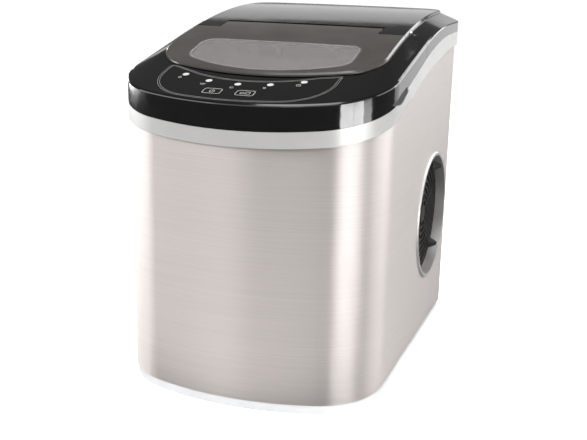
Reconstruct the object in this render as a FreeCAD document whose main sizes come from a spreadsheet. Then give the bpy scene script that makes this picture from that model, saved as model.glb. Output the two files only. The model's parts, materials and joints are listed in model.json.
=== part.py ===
"""Countertop ice maker, built as the real machine is: casing, lid, tank, ice works and cooling circuit.

Frame: millimetres, +Z up, origin on the ground below the middle of the machine, front towards -Y.
Every driving size is a cell of the spreadsheet "Dims". Sub-parts are bound to those cells, and the few
free-form shells are worked out from them.
"""
import FreeCAD, Part
import Sketcher
import math
import os
from FreeCAD import Placement, Rotation, Vector

DIMS = {
    # plan outline of the plastic casing: bowed front, round corners, flat rear
    "shell_half_w": 120.5,
    "shell_front_y": -179.0,
    "shell_rear_y": 179.0,
    "shell_bow": 239.0,
    "shell_front_corner": 66.5,
    "shell_rear_corner": 42.0,
    # plan outline of the crown, the edge of the lid and of the rear cover
    "crown_half_w": 103.0,
    "crown_front_y": -122.5,
    "crown_rear_y": 152.0,
    "crown_bow": 225.0,
    "crown_front_corner": 40.0,
    "crown_rear_corner": 22.0,
    # side profiles: each climbs at a slope, bends at bend_y and is level at top_z behind flat_y
    "crown_slope": 0.30,
    "crown_bend_y": -89.0,
    "crown_flat_y": 128.0,
    "crown_top_z": 327.4,
    "shoulder_slope": 0.22,
    "shoulder_bend_y": 0.0,
    "shoulder_flat_y": 98.0,
    "shoulder_top_z": 317.0,
    "trim_top_slope": 0.266,
    "trim_top_bend_y": -10.0,
    "trim_top_flat_y": 110.0,
    "trim_top_top_z": 306.4,
    "trim_low_slope": 0.249,
    "trim_low_bend_y": -20.0,
    "trim_low_flat_y": 150.0,
    "trim_low_top_z": 293.0,
    "crown_bulge": 0.6,
    # shells
    "steel_inset": 2.5,
    "steel_thick": 0.8,
    "steel_low_z": 12.4,
    "steel_tuck": 5.0,
    "trim_thick": 2.4,
    "wall": 2.5,
    "rim_drop": 2.8,
    "rim_gap": 0.6,
    "ledge_w": 10.0,
    "lip_h": 5.0,
    "seam_y": -5.0,
    "seam_gap": 0.6,
    # lid and its hinge
    "lid_thick": 2.6,
    "lid_bevel": 1.3,
    "hinge_y": 1.5,
    "hinge_z": 313.4,
    "barrel_r": 2.9,
    "pin_r": 1.6,
    "pin_play": 0.05,
    "tongue_half_w": 77.4,
    "tab_gap": 0.8,
    "tab_front_y": -16.1,
    "cover_front_y": 6.2,
    # control panel
    "overlay_thick": 1.0,
    "key_w": 16.5,
    "key_d": 11.0,
    "key_h": 5.2,
    "key_gap": 0.35,
    "key_travel": 0.6,
    "key_y": -158.0,
    "key_left_x": -22.5,
    "key_right_x": 6.5,
    "lens_r": 2.8,
    "lens_h": 2.5,
    # base, feet and rear panel
    "base_low_z": 4.0,
    "base_inset": 4.2,
    "base_floor": 3.0,
    "base_wall": 2.5,
    "base_top_z": 26.0,
    "foot_r": 12.0,
    "foot_x": 82.0,
    "foot_front_y": -105.0,
    "foot_rear_y": 142.0,
    "panel_half_w": 77.5,
    "panel_thick": 1.6,
    # round side vent and its fan
    "vent_y": 70.5,
    "vent_z": 127.5,
    "vent_r": 60.5,
    "vent_lip_r": 64.0,
    "vent_lip": 1.2,
    "vent_barrel": 1.5,
    "guard_x": 109.5,
    "guard_thick": 2.4,
    "fan_r": 53.0,
    "fan_hub_r": 17.0,
    "fan_low_x": 88.0,
    "fan_depth": 14.0,
    "fan_shaft_r": 2.0,
    # water tank and liner
    "tank_half_w": 91.0,
    "tank_wall": 2.0,
    "tank_front_y": -148.0,
    "tank_rear_y": 2.0,
    "tank_low_z": 100.0,
    "tank_shelf_z": 190.0,
    "chamber_rear_y": 58.0,
    "liner_drop": 9.0,
    # ice basket
    "basket_half_w": 84.0,
    "basket_rear_y": -30.0,
    "basket_low_z": 194.4,
    "basket_h": 52.0,
    "basket_wall": 1.8,
    # ice works: trough, fingers and paddle
    "trough_y": 19.0,
    "trough_z": 256.0,
    "trough_r": 33.0,
    "trough_wall": 2.0,
    "trough_half_w": 80.0,
    "finger_r": 6.0,
    "finger_drop": 25.0,
    "finger_pitch": 16.0,
    "paddle_y": -20.0,
    "paddle_z": 284.0,
    "paddle_h": 33.0,
    # cooling circuit
    "compressor_x": -46.0,
    "compressor_y": 98.0,
    "compressor_r": 46.0,
    "compressor_low_z": 20.0,
    "compressor_h": 118.0,
    "condenser_low_x": 34.0,
    "condenser_w": 24.0,
    "pipe_r": 3.2,
    # mains cord gland and drain
    "gland_x": -50.0,
    "gland_z": 48.0,
    "gland_r": 3.6,
    "drain_x": 40.0,
    "drain_z": 36.0,
    "drain_r": 7.0,
}

doc = FreeCAD.newDocument("IceMaker")
sheet = doc.addObject("Spreadsheet::Sheet", "Dims")
for row, (alias, value) in enumerate(DIMS.items(), start=1):
    sheet.set("A%d" % row, alias)
    sheet.set("B%d" % row, str(value))
    sheet.setAlias("B%d" % row, alias)
doc.recompute()

NODES = []


# ---------------------------------------------------------------- helpers for bound objects

def dim(alias):
    """A driving dimension, read from the sheet."""
    return float(sheet.get(alias))


def cell(text):
    """An expression: each alias of the sheet in text gets the sheet's name in front."""
    words = text.replace("(", " ( ").replace(")", " ) ").split()
    return " ".join("Dims." + word if word in DIMS else word for word in words)


def at(thing, x="0", y="0", z="0"):
    """Bind the place of an object."""
    for axis, text in zip("xyz", (x, y, z)):
        thing.setExpression("Placement.Base." + axis, cell(text))
    return thing


def turned(thing, axis, degrees):
    """Turn an object about an axis through its own origin."""
    thing.Placement = Placement(Vector(0, 0, 0), Rotation(axis, degrees))
    return thing


def box(x, y, z, length, width, height):
    """Bound box from its low corner and its three sizes."""
    thing = doc.addObject("Part::Box", "Block")
    thing.setExpression("Length", cell(length))
    thing.setExpression("Width", cell(width))
    thing.setExpression("Height", cell(height))
    return at(thing, x, y, z)


def rod(x, y, z, radius, height, axis="Z"):
    """Bound cylinder that starts at a point and runs along +X, +Y or +Z."""
    thing = doc.addObject("Part::Cylinder", "Rod")
    thing.setExpression("Radius", cell(radius))
    thing.setExpression("Height", cell(height))
    if axis == "X":
        turned(thing, Vector(0, 1, 0), 90)
    if axis == "Y":
        turned(thing, Vector(1, 0, 0), -90)
    return at(thing, x, y, z)


def cone(x, y, z, low_r, high_r, height, axis="Z"):
    """Bound cone that starts at a point and runs along +X, +Y or +Z."""
    thing = doc.addObject("Part::Cone", "Cone")
    thing.setExpression("Radius1", cell(low_r))
    thing.setExpression("Radius2", cell(high_r))
    thing.setExpression("Height", cell(height))
    if axis == "X":
        turned(thing, Vector(0, 1, 0), 90)
    if axis == "Y":
        turned(thing, Vector(1, 0, 0), -90)
    return at(thing, x, y, z)


def ball(x, y, z, radius):
    """Bound sphere."""
    thing = doc.addObject("Part::Sphere", "Ball")
    thing.setExpression("Radius", cell(radius))
    return at(thing, x, y, z)


def fuse(*things):
    """Union of objects."""
    joined = doc.addObject("Part::MultiFuse", "Union")
    joined.Shapes = list(things)
    return joined


def cut(base, *tools):
    """base without the tools."""
    result = doc.addObject("Part::Cut", "Cut")
    result.Base = base
    result.Tool = tools[0] if len(tools) == 1 else fuse(*tools)
    return result


def shaped(shape, name="Shaped"):
    """A free-form shape as a document object."""
    thing = doc.addObject("Part::Feature", name)
    thing.Shape = shape
    thing.Placement = Placement()
    return thing


def node(label, thing):
    """Name a finished sub-part."""
    thing.Label = label
    NODES.append(thing)
    return thing


# ---------------------------------------------------------------- helpers for sketched bodies

def new_body(name):
    return doc.addObject("PartDesign::Body", name)


def sketch(body, role, offset="0"):
    """Sketch on one of the body's own origin planes, lifted by offset."""
    drawing = body.newObject("Sketcher::SketchObject", "Sketch")
    plane = [f for f in body.Origin.OriginFeatures if f.Role == role][0]
    drawing.AttachmentSupport = [(plane, "")]
    drawing.MapMode = "FlatFace"
    drawing.setExpression("AttachmentOffset.Base.z", cell(offset))
    return drawing


def draw_polygon(drawing, corners):
    """Closed polygon whose corners, given as pairs of expressions, are bound."""
    count = len(corners)
    guess = [Vector(math.cos(6.28 * i / count), math.sin(6.28 * i / count), 0) for i in range(count)]
    first = drawing.GeometryCount
    for i in range(count):
        drawing.addGeometry(Part.LineSegment(guess[i], guess[(i + 1) % count]), False)
    for i in range(count):
        join = (first + i, 2, first + (i + 1) % count, 1)
        drawing.addConstraint(Sketcher.Constraint("Coincident", *join))
    for i, (x, y) in enumerate(corners):
        for kind, text in (("DistanceX", x), ("DistanceY", y)):
            index = drawing.addConstraint(Sketcher.Constraint(kind, -1, 1, first + i, 1, 1.0))
            drawing.setExpression("Constraints[%d]" % index, cell(text))


def revolve(body, drawing):
    """Full turn about the sketch's vertical axis."""
    feature = body.newObject("PartDesign::Revolution", "Revolution")
    feature.Profile = drawing
    feature.ReferenceAxis = (drawing, ["V_Axis"])
    feature.Angle = 360.0
    return feature


# ---------------------------------------------------------------- helpers for the free-form shells

def rise(profile, y):
    """Height of a side profile at y: a straight incline that eases into a level top."""
    slope = dim(profile + "_slope")
    bend_y = dim(profile + "_bend_y")
    flat_y = dim(profile + "_flat_y")
    top_z = dim(profile + "_top_z")
    if y >= flat_y:
        return top_z
    if y >= bend_y:
        return top_z - slope * (flat_y - y) ** 2 / (2 * (flat_y - bend_y))
    return top_z - slope * (flat_y - bend_y) / 2 - slope * (bend_y - y)


def plan_edges(kind, inset=0.0):
    """The eight edges of a plan outline, counter-clockwise from the left end of the front bow."""
    half_w = dim(kind + "_half_w") - inset
    front_y = dim(kind + "_front_y") + inset
    rear_y = dim(kind + "_rear_y") - inset
    bow = dim(kind + "_bow") - inset
    front_r = dim(kind + "_front_corner") - inset
    rear_r = dim(kind + "_rear_corner") - inset
    bow_centre_y = front_y + bow
    corner_x = half_w - front_r
    corner_y = bow_centre_y - math.sqrt((bow - front_r) ** 2 - corner_x ** 2)
    reach = math.hypot(corner_x, bow_centre_y - corner_y)
    bow_x = corner_x * bow / reach
    bow_y = bow_centre_y - (bow_centre_y - corner_y) * bow / reach
    side_lean = 0.5 * (math.atan2(bow_y - corner_y, bow_x - corner_x))
    front_mid_x = corner_x + front_r * math.cos(side_lean)
    front_mid_y = corner_y + front_r * math.sin(side_lean)
    rear_x = half_w - rear_r
    rear_corner_y = rear_y - rear_r
    rear_mid = rear_r * math.sqrt(0.5)

    def arc(*ends):
        return Part.Arc(*[Vector(x, y, 0) for x, y in ends]).toShape()

    def line(*ends):
        return Part.LineSegment(*[Vector(x, y, 0) for x, y in ends]).toShape()

    return [
        arc((-bow_x, bow_y), (0, front_y), (bow_x, bow_y)),
        arc((bow_x, bow_y), (front_mid_x, front_mid_y), (half_w, corner_y)),
        line((half_w, corner_y), (half_w, rear_corner_y)),
        arc((half_w, rear_corner_y), (rear_x + rear_mid, rear_corner_y + rear_mid), (rear_x, rear_y)),
        line((rear_x, rear_y), (-rear_x, rear_y)),
        arc((-rear_x, rear_y), (-rear_x - rear_mid, rear_corner_y + rear_mid), (-half_w, rear_corner_y)),
        line((-half_w, rear_corner_y), (-half_w, corner_y)),
        arc((-half_w, corner_y), (-front_mid_x, front_mid_y), (-bow_x, bow_y)),
    ]


def prism(kind, inset, low_z, high_z):
    """Upright solid on a plan outline."""
    face = Part.Face(Part.Wire(plan_edges(kind, inset)))
    solid = face.extrude(Vector(0, 0, high_z - low_z))
    solid.translate(Vector(0, 0, low_z))
    return solid


def under_profile(profile, lift=0.0):
    """Everything below a side profile that is lifted by lift."""
    reach_y = 220.0
    reach_x = 140.0
    bend_y = dim(profile + "_bend_y")
    flat_y = dim(profile + "_flat_y")
    top_z = dim(profile + "_top_z") + lift

    def point(y, z):
        return Vector(-reach_x, y, z)

    front = point(-reach_y, rise(profile, -reach_y) + lift)
    bend = point(bend_y, rise(profile, bend_y) + lift)
    flat = point(flat_y, top_z)
    ease = Part.BezierCurve()
    ease.setPoles([bend, point((bend_y + flat_y) / 2, top_z), flat])
    rear = point(reach_y, top_z)
    low_rear = point(reach_y, -1)
    low_front = point(-reach_y, -1)
    edges = [Part.LineSegment(front, bend).toShape(), ease.toShape()]
    edges += [Part.LineSegment(a, b).toShape()
              for a, b in ((flat, rear), (rear, low_rear), (low_rear, low_front), (low_front, front))]
    return Part.Face(Part.Wire(edges)).extrude(Vector(2 * reach_x, 0, 0))


def block(low, high):
    """Box between two corners."""
    size = [high[i] - low[i] for i in range(3)]
    return Part.makeBox(*size, Vector(*low))


def loop(kind, inset, height):
    """A plan outline lifted to height(y): one smooth edge for each of its eight stretches."""
    counts = (13, 9, 19, 7, 3, 7, 19, 9)
    lifted = []
    for edge, count in zip(plan_edges(kind, inset), counts):
        first, last = edge.ParameterRange
        points = []
        for i in range(count):
            spot = edge.valueAt(first + (last - first) * i / (count - 1))
            points.append(Vector(spot.x, spot.y, height(spot.y)))
        curve = Part.BSplineCurve()
        curve.interpolate(points)
        lifted.append(curve.toShape())
    return lifted


def ring_solid(loops):
    """Closed ring whose section's corners run along the loops."""
    faces = []
    for low, high in zip(loops, loops[1:] + loops[:1]):
        faces += [Part.makeRuledSurface(a, b) for a, b in zip(low, high)]
    shell = Part.Shell(faces)
    shell.sewShape()
    solid = Part.Solid(shell)
    if solid.Volume < 0:
        solid.reverse()
    return solid


def crown_height(x, y):
    """The crowned top surface of the lid and of the rear cover."""
    return rise("crown", y) + dim("crown_bulge") * (1 - (x / dim("crown_half_w")) ** 2)


def crown_slab(thick):
    """Slab below the crowned surface, wider than the casing's top."""
    columns = [-116 + 232 * i / 8 for i in range(9)]
    rows = [-150 + 330 * j / 30 for j in range(31)]
    surface = Part.BSplineSurface()
    surface.interpolate([[Vector(x, y, crown_height(x, y)) for y in rows] for x in columns])
    return surface.toShape().extrude(Vector(0, 0, -thick))


def route(points, bend):
    """Wire of straight runs through the points, joined by tangent arcs of the bend radius."""
    spots = [Vector(*p) for p in points]
    edges = []
    start = spots[0]
    for before, corner, after in zip(spots, spots[1:], spots[2:]):
        back = (before - corner).normalize()
        ahead = (after - corner).normalize()
        half = back.getAngle(ahead) / 2
        trim = bend / math.tan(half)
        enter = corner + back * trim
        leave = corner + ahead * trim
        centre = corner + (back + ahead).normalize() * (bend / math.sin(half))
        middle = centre + (corner - centre).normalize() * bend
        edges.append(Part.LineSegment(start, enter).toShape())
        edges.append(Part.Arc(enter, middle, leave).toShape())
        start = leave
    edges.append(Part.LineSegment(start, spots[-1]).toShape())
    return Part.Wire(edges)


def tube(points, radius, bend, bore=0.0):
    """Round bar, or pipe with a bore, along a route."""
    wire = route(points, bend)
    direction = Vector(*points[1]) - Vector(*points[0])

    def swept(size):
        circle = Part.Wire(Part.makeCircle(size, Vector(*points[0]), direction))
        return wire.makePipeShell([circle], True, False)

    solid = swept(radius)
    return solid.cut(swept(bore)) if bore else solid


# ---------------------------------------------------------------- outer casing

FAR = 400.0
FACET_INSET = 1.8


def facet_edges(lift):
    """The two loops between which the casing's facet runs, lifted by some height."""
    low = loop("shell", FACET_INSET, lambda y: rise("shoulder", y) + 0.4 + lift)
    high = loop("crown", -dim("rim_gap"), lambda y: rise("crown", y) - dim("rim_drop") + lift)
    return low, high


def facet_layer(above, below):
    """Layer that follows the casing's facet, from some height above it to some depth below."""
    low_top, high_top = facet_edges(above)
    low_bottom, high_bottom = facet_edges(-below)
    return ring_solid([low_top, high_top, high_bottom, low_bottom])


def casing_ring():
    """The casing's rim: upright band, rounded shoulder, facet, and the lipped ledge under the lid."""
    wall = dim("wall")
    lip_w = dim("ledge_w") - wall
    lip_drop = dim("rim_drop") + dim("lip_h")
    ledge_drop = dim("rim_drop") + 0.1
    facet_low, facet_high = facet_edges(0)
    return ring_solid([
        loop("shell", 0, lambda y: rise("trim_top", y) + 0.02),
        loop("shell", 0, lambda y: rise("shoulder", y) - 1.2),
        loop("shell", 0.4, lambda y: rise("shoulder", y) - 0.4),
        facet_low,
        facet_high,
        loop("crown", dim("ledge_w"), lambda y: rise("crown", y) - ledge_drop),
        loop("crown", dim("ledge_w"), lambda y: rise("crown", y) - lip_drop),
        loop("crown", lip_w, lambda y: rise("crown", y) - lip_drop),
        loop("shell", wall, lambda y: rise("shoulder", y) - 1.3 * wall),
        loop("shell", wall, lambda y: rise("trim_top", y) + 0.02),
    ])


CASING = casing_ring()


def on_rim(point):
    """True where a point lies on the crown's outline in plan."""
    outline = Part.Wire(plan_edges("crown"))
    return outline.distToShape(Part.Vertex(point.x, point.y, 0))[0] < 0.02


def bevel_rim(solid):
    """Wide bevel where the crowned top ends at its rim."""
    rim = []
    for edge in solid.Edges:
        middle = edge.valueAt(sum(edge.ParameterRange) / 2)
        spots = [v.Point for v in edge.Vertexes] + [middle]
        if all(on_rim(p) and abs(p.z - crown_height(p.x, p.y)) < 0.03 for p in spots):
            rim.append(edge)
    return solid.makeChamfer(dim("lid_bevel"), rim)


def panel_axes():
    """Direction across the control panel towards the rear, and the direction out of it."""
    edge_y = dim("shell_front_y") + FACET_INSET
    front = Vector(0, edge_y, rise("shoulder", edge_y) + 0.4)
    rim_y = dim("crown_front_y") - dim("rim_gap")
    rear = Vector(0, rim_y, rise("crown", rim_y) - dim("rim_drop"))
    up_slope = (rear - front).normalize()
    return up_slope, Vector(0, -up_slope.z, up_slope.y)


def panel_point(x, y):
    """Point of the control panel's surface below or above x, y."""
    up_slope, _ = panel_axes()
    edge_y = dim("shell_front_y") + FACET_INSET
    return Vector(x, y, rise("shoulder", edge_y) + 0.4 + (y - edge_y) * up_slope.z / up_slope.y)


def panel_tilt():
    """Turn that lays +Z along the panel's outward direction."""
    return Rotation(Vector(0, 0, 1), panel_axes()[1])


def panel_block(x, y, width, depth, low, high, corner_r=0.0):
    """Block square to the control panel, from low to high above its surface."""
    solid = Part.makeBox(width, depth, high - low, Vector(-width / 2, -depth / 2, low))
    if corner_r:
        upright = [e for e in solid.Edges if abs(e.Vertexes[0].Z - e.Vertexes[-1].Z) > 1e-6]
        solid = solid.makeFillet(corner_r, upright)
    solid.Placement = Placement(panel_point(x, y), panel_tilt())
    return solid


def panel_rod(x, y, radius, low, high):
    """Cylinder square to the control panel, from low to high above its surface."""
    solid = Part.makeCylinder(radius, high - low, Vector(0, 0, low))
    solid.Placement = Placement(panel_point(x, y), panel_tilt())
    return solid


LAMP_X = -7.0
LAMP_ARC_Y = -25.0
LAMP_ARC_R = 116.0
LAMP_STEP = math.radians(13.7)
LAMPS = [(LAMP_X + LAMP_ARC_R * math.sin(i * LAMP_STEP), LAMP_ARC_Y - LAMP_ARC_R * math.cos(i * LAMP_STEP))
         for i in (-2, -1, 0, 1, 2)]
KEYS = {"power_button": dim("key_left_x"), "select_button": dim("key_right_x")}
BOARD_X = -4.0
BOARD_Y = -144.5
BOARD_W = 136.0
BOARD_D = 36.0
BOARD_TOP = -12.5
BOARD_THICK = 1.6
BOARD_HOLES = [(BOARD_X + sx * 62, BOARD_Y + sy * 13) for sx in (-1, 1) for sy in (-1, 1)]


def overlay_prism(inset):
    """Upright solid on the outline of the control overlay: a crescent that follows the lid's front edge."""
    centre_x = -4.0
    half_w = 80.0 - inset
    front_y = -175.3 + inset
    bow = 225.0 - inset
    corner_r = 45.0 - inset
    rear_r = 125.0 + inset
    rear_arc_y = -131.0 + 125.0
    tip_r = 7.0
    corner_x = half_w - corner_r
    corner_y = front_y + bow - math.sqrt((bow - corner_r) ** 2 - corner_x ** 2)
    reach = math.hypot(corner_x, front_y + bow - corner_y)
    bow_x = corner_x * bow / reach
    bow_y = front_y + bow - (front_y + bow - corner_y) * bow / reach
    lean = 0.5 * math.atan2(bow_y - corner_y, bow_x - corner_x)
    mid_x = corner_x + corner_r * math.cos(lean)
    mid_y = corner_y + corner_r * math.sin(lean)
    top_y = -100.0
    spots = {
        "left": (-bow_x, bow_y), "front": (0, front_y), "right": (bow_x, bow_y),
        "right_mid": (mid_x, mid_y), "left_mid": (-mid_x, mid_y),
        "right_side": (half_w, corner_y), "left_side": (-half_w, corner_y),
        "right_top": (half_w, top_y), "left_top": (-half_w, top_y),
    }
    p = {name: Vector(centre_x + x, y, 240) for name, (x, y) in spots.items()}
    wire = Part.Wire([
        Part.Arc(p["left"], p["front"], p["right"]).toShape(),
        Part.Arc(p["right"], p["right_mid"], p["right_side"]).toShape(),
        Part.LineSegment(p["right_side"], p["right_top"]).toShape(),
        Part.LineSegment(p["right_top"], p["left_top"]).toShape(),
        Part.LineSegment(p["left_top"], p["left_side"]).toShape(),
        Part.Arc(p["left_side"], p["left_mid"], p["left"]).toShape(),
    ])
    solid = Part.Face(wire).extrude(Vector(0, 0, 80))
    solid = solid.cut(Part.makeCylinder(rear_r, 100, Vector(centre_x, rear_arc_y, 230)))
    tips = [e for e in solid.Edges
            if abs(e.Vertexes[0].Z - e.Vertexes[-1].Z) > 1
            and abs(abs(e.Vertexes[0].X - centre_x) - half_w) < 0.01
            and e.Vertexes[0].Y > corner_y + 1]
    return solid.makeFillet(tip_r - inset, tips)


def finger_recesses():
    """Shallow leaf-shaped recess low in the band on either side, where fingers lift the lid's edge."""
    corners = ((-118, 266.2), (-104, 269.6), (-92, 272.9), (-83, 274.5), (-74, 274.3), (-71, 272.0),
               (-77, 268.3), (-92, 263.4), (-103, 263.2))
    depth = 1.6
    start = dim("shell_half_w") - depth
    spline = Part.BSplineCurve()
    spline.interpolate([Vector(start, y, z) for y, z in corners], PeriodicFlag=True)
    right = Part.Face(Part.Wire(spline.toShape())).extrude(Vector(10, 0, 0))
    return right, right.mirror(Vector(0, 0, 0), Vector(1, 0, 0))


def make_top_frame():
    """Front half of the black top: band, facets, control panel and the ledge that carries the lid."""
    seam = dim("seam_y") - dim("seam_gap") / 2
    frame = CASING.common(block((-FAR, -FAR, 0), (FAR, seam, FAR)))
    frame = frame.cut(facet_layer(2, dim("overlay_thick")).common(overlay_prism(0)))
    gap = 2 * dim("key_gap")
    for x in KEYS.values():
        frame = frame.cut(panel_block(x, dim("key_y"), dim("key_w") + gap, dim("key_d") + gap, -20, 4, 2.8))
    for x, y in LAMPS:
        frame = frame.cut(panel_rod(x, y, dim("lens_r"), -20, 4))
    for x, y in BOARD_HOLES:
        boss = panel_rod(x, y, 3.5, BOARD_TOP, -3.0).cut(panel_rod(x, y, 1.2, BOARD_TOP - 1, -6.0))
        frame = frame.fuse(boss)
    for tool in (*finger_recesses(), *bumper_rods(BUMPER_R + 0.05, 1.85)):
        frame = frame.cut(tool)
    return node("top_frame", shaped(frame.removeSplitter()))


def lid_region(gap_y):
    """Where the lid lies in plan: in front of the hinge tabs, with a tongue between them."""
    front = block((-FAR, -FAR, 0), (FAR, gap_y, FAR))
    half_w = dim("tongue_half_w")
    tongue = block((-half_w, gap_y - 1, 0), (half_w, dim("hinge_y"), FAR))
    return front.fuse(tongue).removeSplitter()


def make_rear_cover():
    """Rear half of the black top with the two tabs that hold the lid's hinge."""
    seam = dim("seam_y") + dim("seam_gap") / 2
    cover = CASING.common(block((-FAR, seam, 0), (FAR, FAR, FAR)))
    thick = dim("rim_drop") + 0.5
    top = crown_slab(thick).common(prism("crown", 0, 200, 340))
    thin_top = crown_slab(dim("lid_thick")).common(prism("crown", 0, 200, 340))
    plate = top.common(block((-FAR, dim("cover_front_y"), 0), (FAR, FAR, FAR)))
    arm_x = dim("tongue_half_w") + dim("tab_gap")
    for low_x, high_x in ((arm_x, FAR), (-FAR, -arm_x)):
        arm = top.common(block((low_x, seam, 0), (high_x, dim("cover_front_y") + 1, FAR)))
        tab = thin_top.common(block((low_x, dim("tab_front_y"), 0), (high_x, seam + 1, FAR)))
        plate = plate.fuse(arm).fuse(tab)
    plate = bevel_rim(plate.removeSplitter())
    cover = cover.fuse(plate)
    for side in (1, -1):
        start = arm_x if side > 0 else -dim("crown_half_w") + 1
        length = dim("crown_half_w") - 1 - arm_x
        boss = Part.makeCylinder(5.4, length, Vector(start, dim("hinge_y"), dim("hinge_z")), Vector(1, 0, 0))
        cover = cover.fuse(boss.common(under_profile("crown", -1.0)))
    bore = Part.makeCylinder(dim("pin_r"), 240, Vector(-120, dim("hinge_y"), dim("hinge_z")), Vector(1, 0, 0))
    head = Part.makeCylinder(PIN_HEAD_R, 240, Vector(0, dim("hinge_y"), dim("hinge_z")), Vector(1, 0, 0))
    heads = [head.common(block((PIN_HEAD_X, -FAR, 0), (FAR, FAR, FAR)))]
    heads.append(heads[0].mirror(Vector(0, 0, 0), Vector(1, 0, 0)))
    cover = cover.cut(bore).cut(heads[0]).cut(heads[1])
    return node("rear_cover", shaped(cover.removeSplitter()))


PIN_HEAD_R = 2.4
PIN_HEAD_X = 102.2


def make_hinge_pins():
    """Two headed pins, pressed into the rear cover's tabs."""
    start = dim("tongue_half_w") - 16
    end = dim("crown_half_w") + 1.2
    spot = (dim("hinge_y"), dim("hinge_z"))
    pin = Part.makeCylinder(dim("pin_r"), PIN_HEAD_X - start, Vector(start, *spot), Vector(1, 0, 0))
    head = Part.makeCylinder(PIN_HEAD_R, end - PIN_HEAD_X, Vector(PIN_HEAD_X, *spot), Vector(1, 0, 0))
    right = pin.fuse(head).removeSplitter()
    left = right.mirror(Vector(0, 0, 0), Vector(1, 0, 0))
    return node("hinge_pins", shaped(Part.makeCompound([right, left])))


def window_prism(inset):
    """Upright solid on the outline of the lid's window: bowed front edge, rounded corners."""
    half_w = 76.0 - inset
    front_y = -117.0 + inset
    rear_y = -53.0 - inset
    bow = 142.0 - inset
    solid = block((-half_w, front_y, 200), (half_w, rear_y, 340))
    solid = solid.common(Part.makeCylinder(bow, 160, Vector(0, front_y + bow, 190)))
    for radius, low_y, high_y in ((16.0, front_y, front_y + 40), (13.0, rear_y - 0.1, rear_y + 0.1)):
        corners = [e for e in solid.Edges
                   if abs(e.Vertexes[0].Z - e.Vertexes[-1].Z) > 1
                   and abs(e.Vertexes[0].X) > half_w - 0.1 and low_y < e.Vertexes[0].Y < high_y]
        solid = solid.makeFillet(radius - inset, corners)
    return solid


def make_lid():
    """Hinged lid: crowned plate with a softened edge, ribs below, a barrel and an opening for the window."""
    rear = dim("tab_front_y") - dim("tab_gap")
    outline = prism("crown", 0, 200, 340).common(lid_region(rear))
    lid = crown_slab(dim("lid_thick")).common(outline)
    lid = bevel_rim(lid.removeSplitter())
    rib_depth = 7.5
    rib_inset = dim("ledge_w") + 3
    deep_slab = crown_slab(rib_depth).cut(crown_slab(dim("lid_thick") - 0.5))
    rib = prism("crown", rib_inset, 200, 340).cut(prism("crown", rib_inset + 1.6, 200, 340))
    lid = lid.fuse(deep_slab.common(rib).common(block((-FAR, -FAR, 0), (FAR, -20, FAR))))
    collar = window_prism(-1.6).cut(window_prism(0.4))
    shallow_slab = crown_slab(5.0).cut(crown_slab(dim("lid_thick") - 0.5))
    lid = lid.fuse(shallow_slab.common(collar).common(prism("crown", rib_inset + 1, 200, 340)))
    spot = (dim("hinge_y"), dim("hinge_z"))
    half_w = dim("tongue_half_w")
    lid = lid.fuse(Part.makeCylinder(dim("barrel_r"), 2 * half_w, Vector(-half_w, *spot), Vector(1, 0, 0)))
    bore_r = dim("pin_r") + dim("pin_play")
    for low_x in (-half_w - 1, half_w - 17):
        lid = lid.cut(Part.makeCylinder(bore_r, 18, Vector(low_x, *spot), Vector(1, 0, 0)))
    pane_seat = 2.0
    lid = lid.cut(crown_slab(pane_seat).common(window_prism(0)))
    lid = lid.cut(window_prism(2.0))
    return node("lid", shaped(lid.removeSplitter()))


def make_lid_window():
    """Clear pane, let into the lid flush with its top."""
    pane = crown_slab(1.9).common(window_prism(0.15))
    return node("lid_window", shaped(pane))


BUMPER_R = 2.5


def bumper_rods(radius, below):
    """Short upright rods at the four spots of the ledge that carry the lid."""
    rods = []
    for x, y in ((-71, -104), (71, -104), (-98, -40), (98, -40)):
        top = rise("crown", y - BUMPER_R) - dim("rim_drop") + 0.1
        rods.append(Part.makeCylinder(radius, below, Vector(x, y, top - below)))
    return rods


def make_lid_bumpers():
    """Four rubber dots, let into the frame's ledge, that the lid comes down on."""
    return node("lid_bumpers", shaped(Part.makeCompound(bumper_rods(BUMPER_R, 1.8))))


def make_control_overlay():
    """Thin glossy facia, let into the panel, with openings for keys and lamps."""
    facia = facet_layer(0, dim("overlay_thick") - 0.02).common(overlay_prism(0.12))
    gap = 2 * dim("key_gap")
    for x in KEYS.values():
        facia = facia.cut(panel_block(x, dim("key_y"), dim("key_w") + gap, dim("key_d") + gap, -20, 4, 2.8))
    for x, y in LAMPS:
        facia = facia.cut(panel_rod(x, y, dim("lens_r"), -20, 4))
    return node("control_overlay", shaped(facia))


def make_key(label, x):
    """Push key whose top follows the panel and stands a little proud of it."""
    proud = 0.25
    low = -dim("key_h")
    key = panel_block(x, dim("key_y"), dim("key_w"), dim("key_d"), low, 4, 2.5)
    key = key.common(facet_layer(proud, 30))
    key = key.fuse(panel_block(x, dim("key_y"), dim("key_w") + 3, dim("key_d") + 3, low, low + 0.8, 3.5))
    return node(label, shaped(key))


def make_lamps():
    """Round lamp lenses that stand a hair proud of the overlay."""
    lenses = [panel_rod(x, y, dim("lens_r"), -dim("lens_h"), 3).common(facet_layer(0.15, 30))
              for x, y in LAMPS]
    return node("lamp_lenses", shaped(Part.makeCompound(lenses)))


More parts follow.
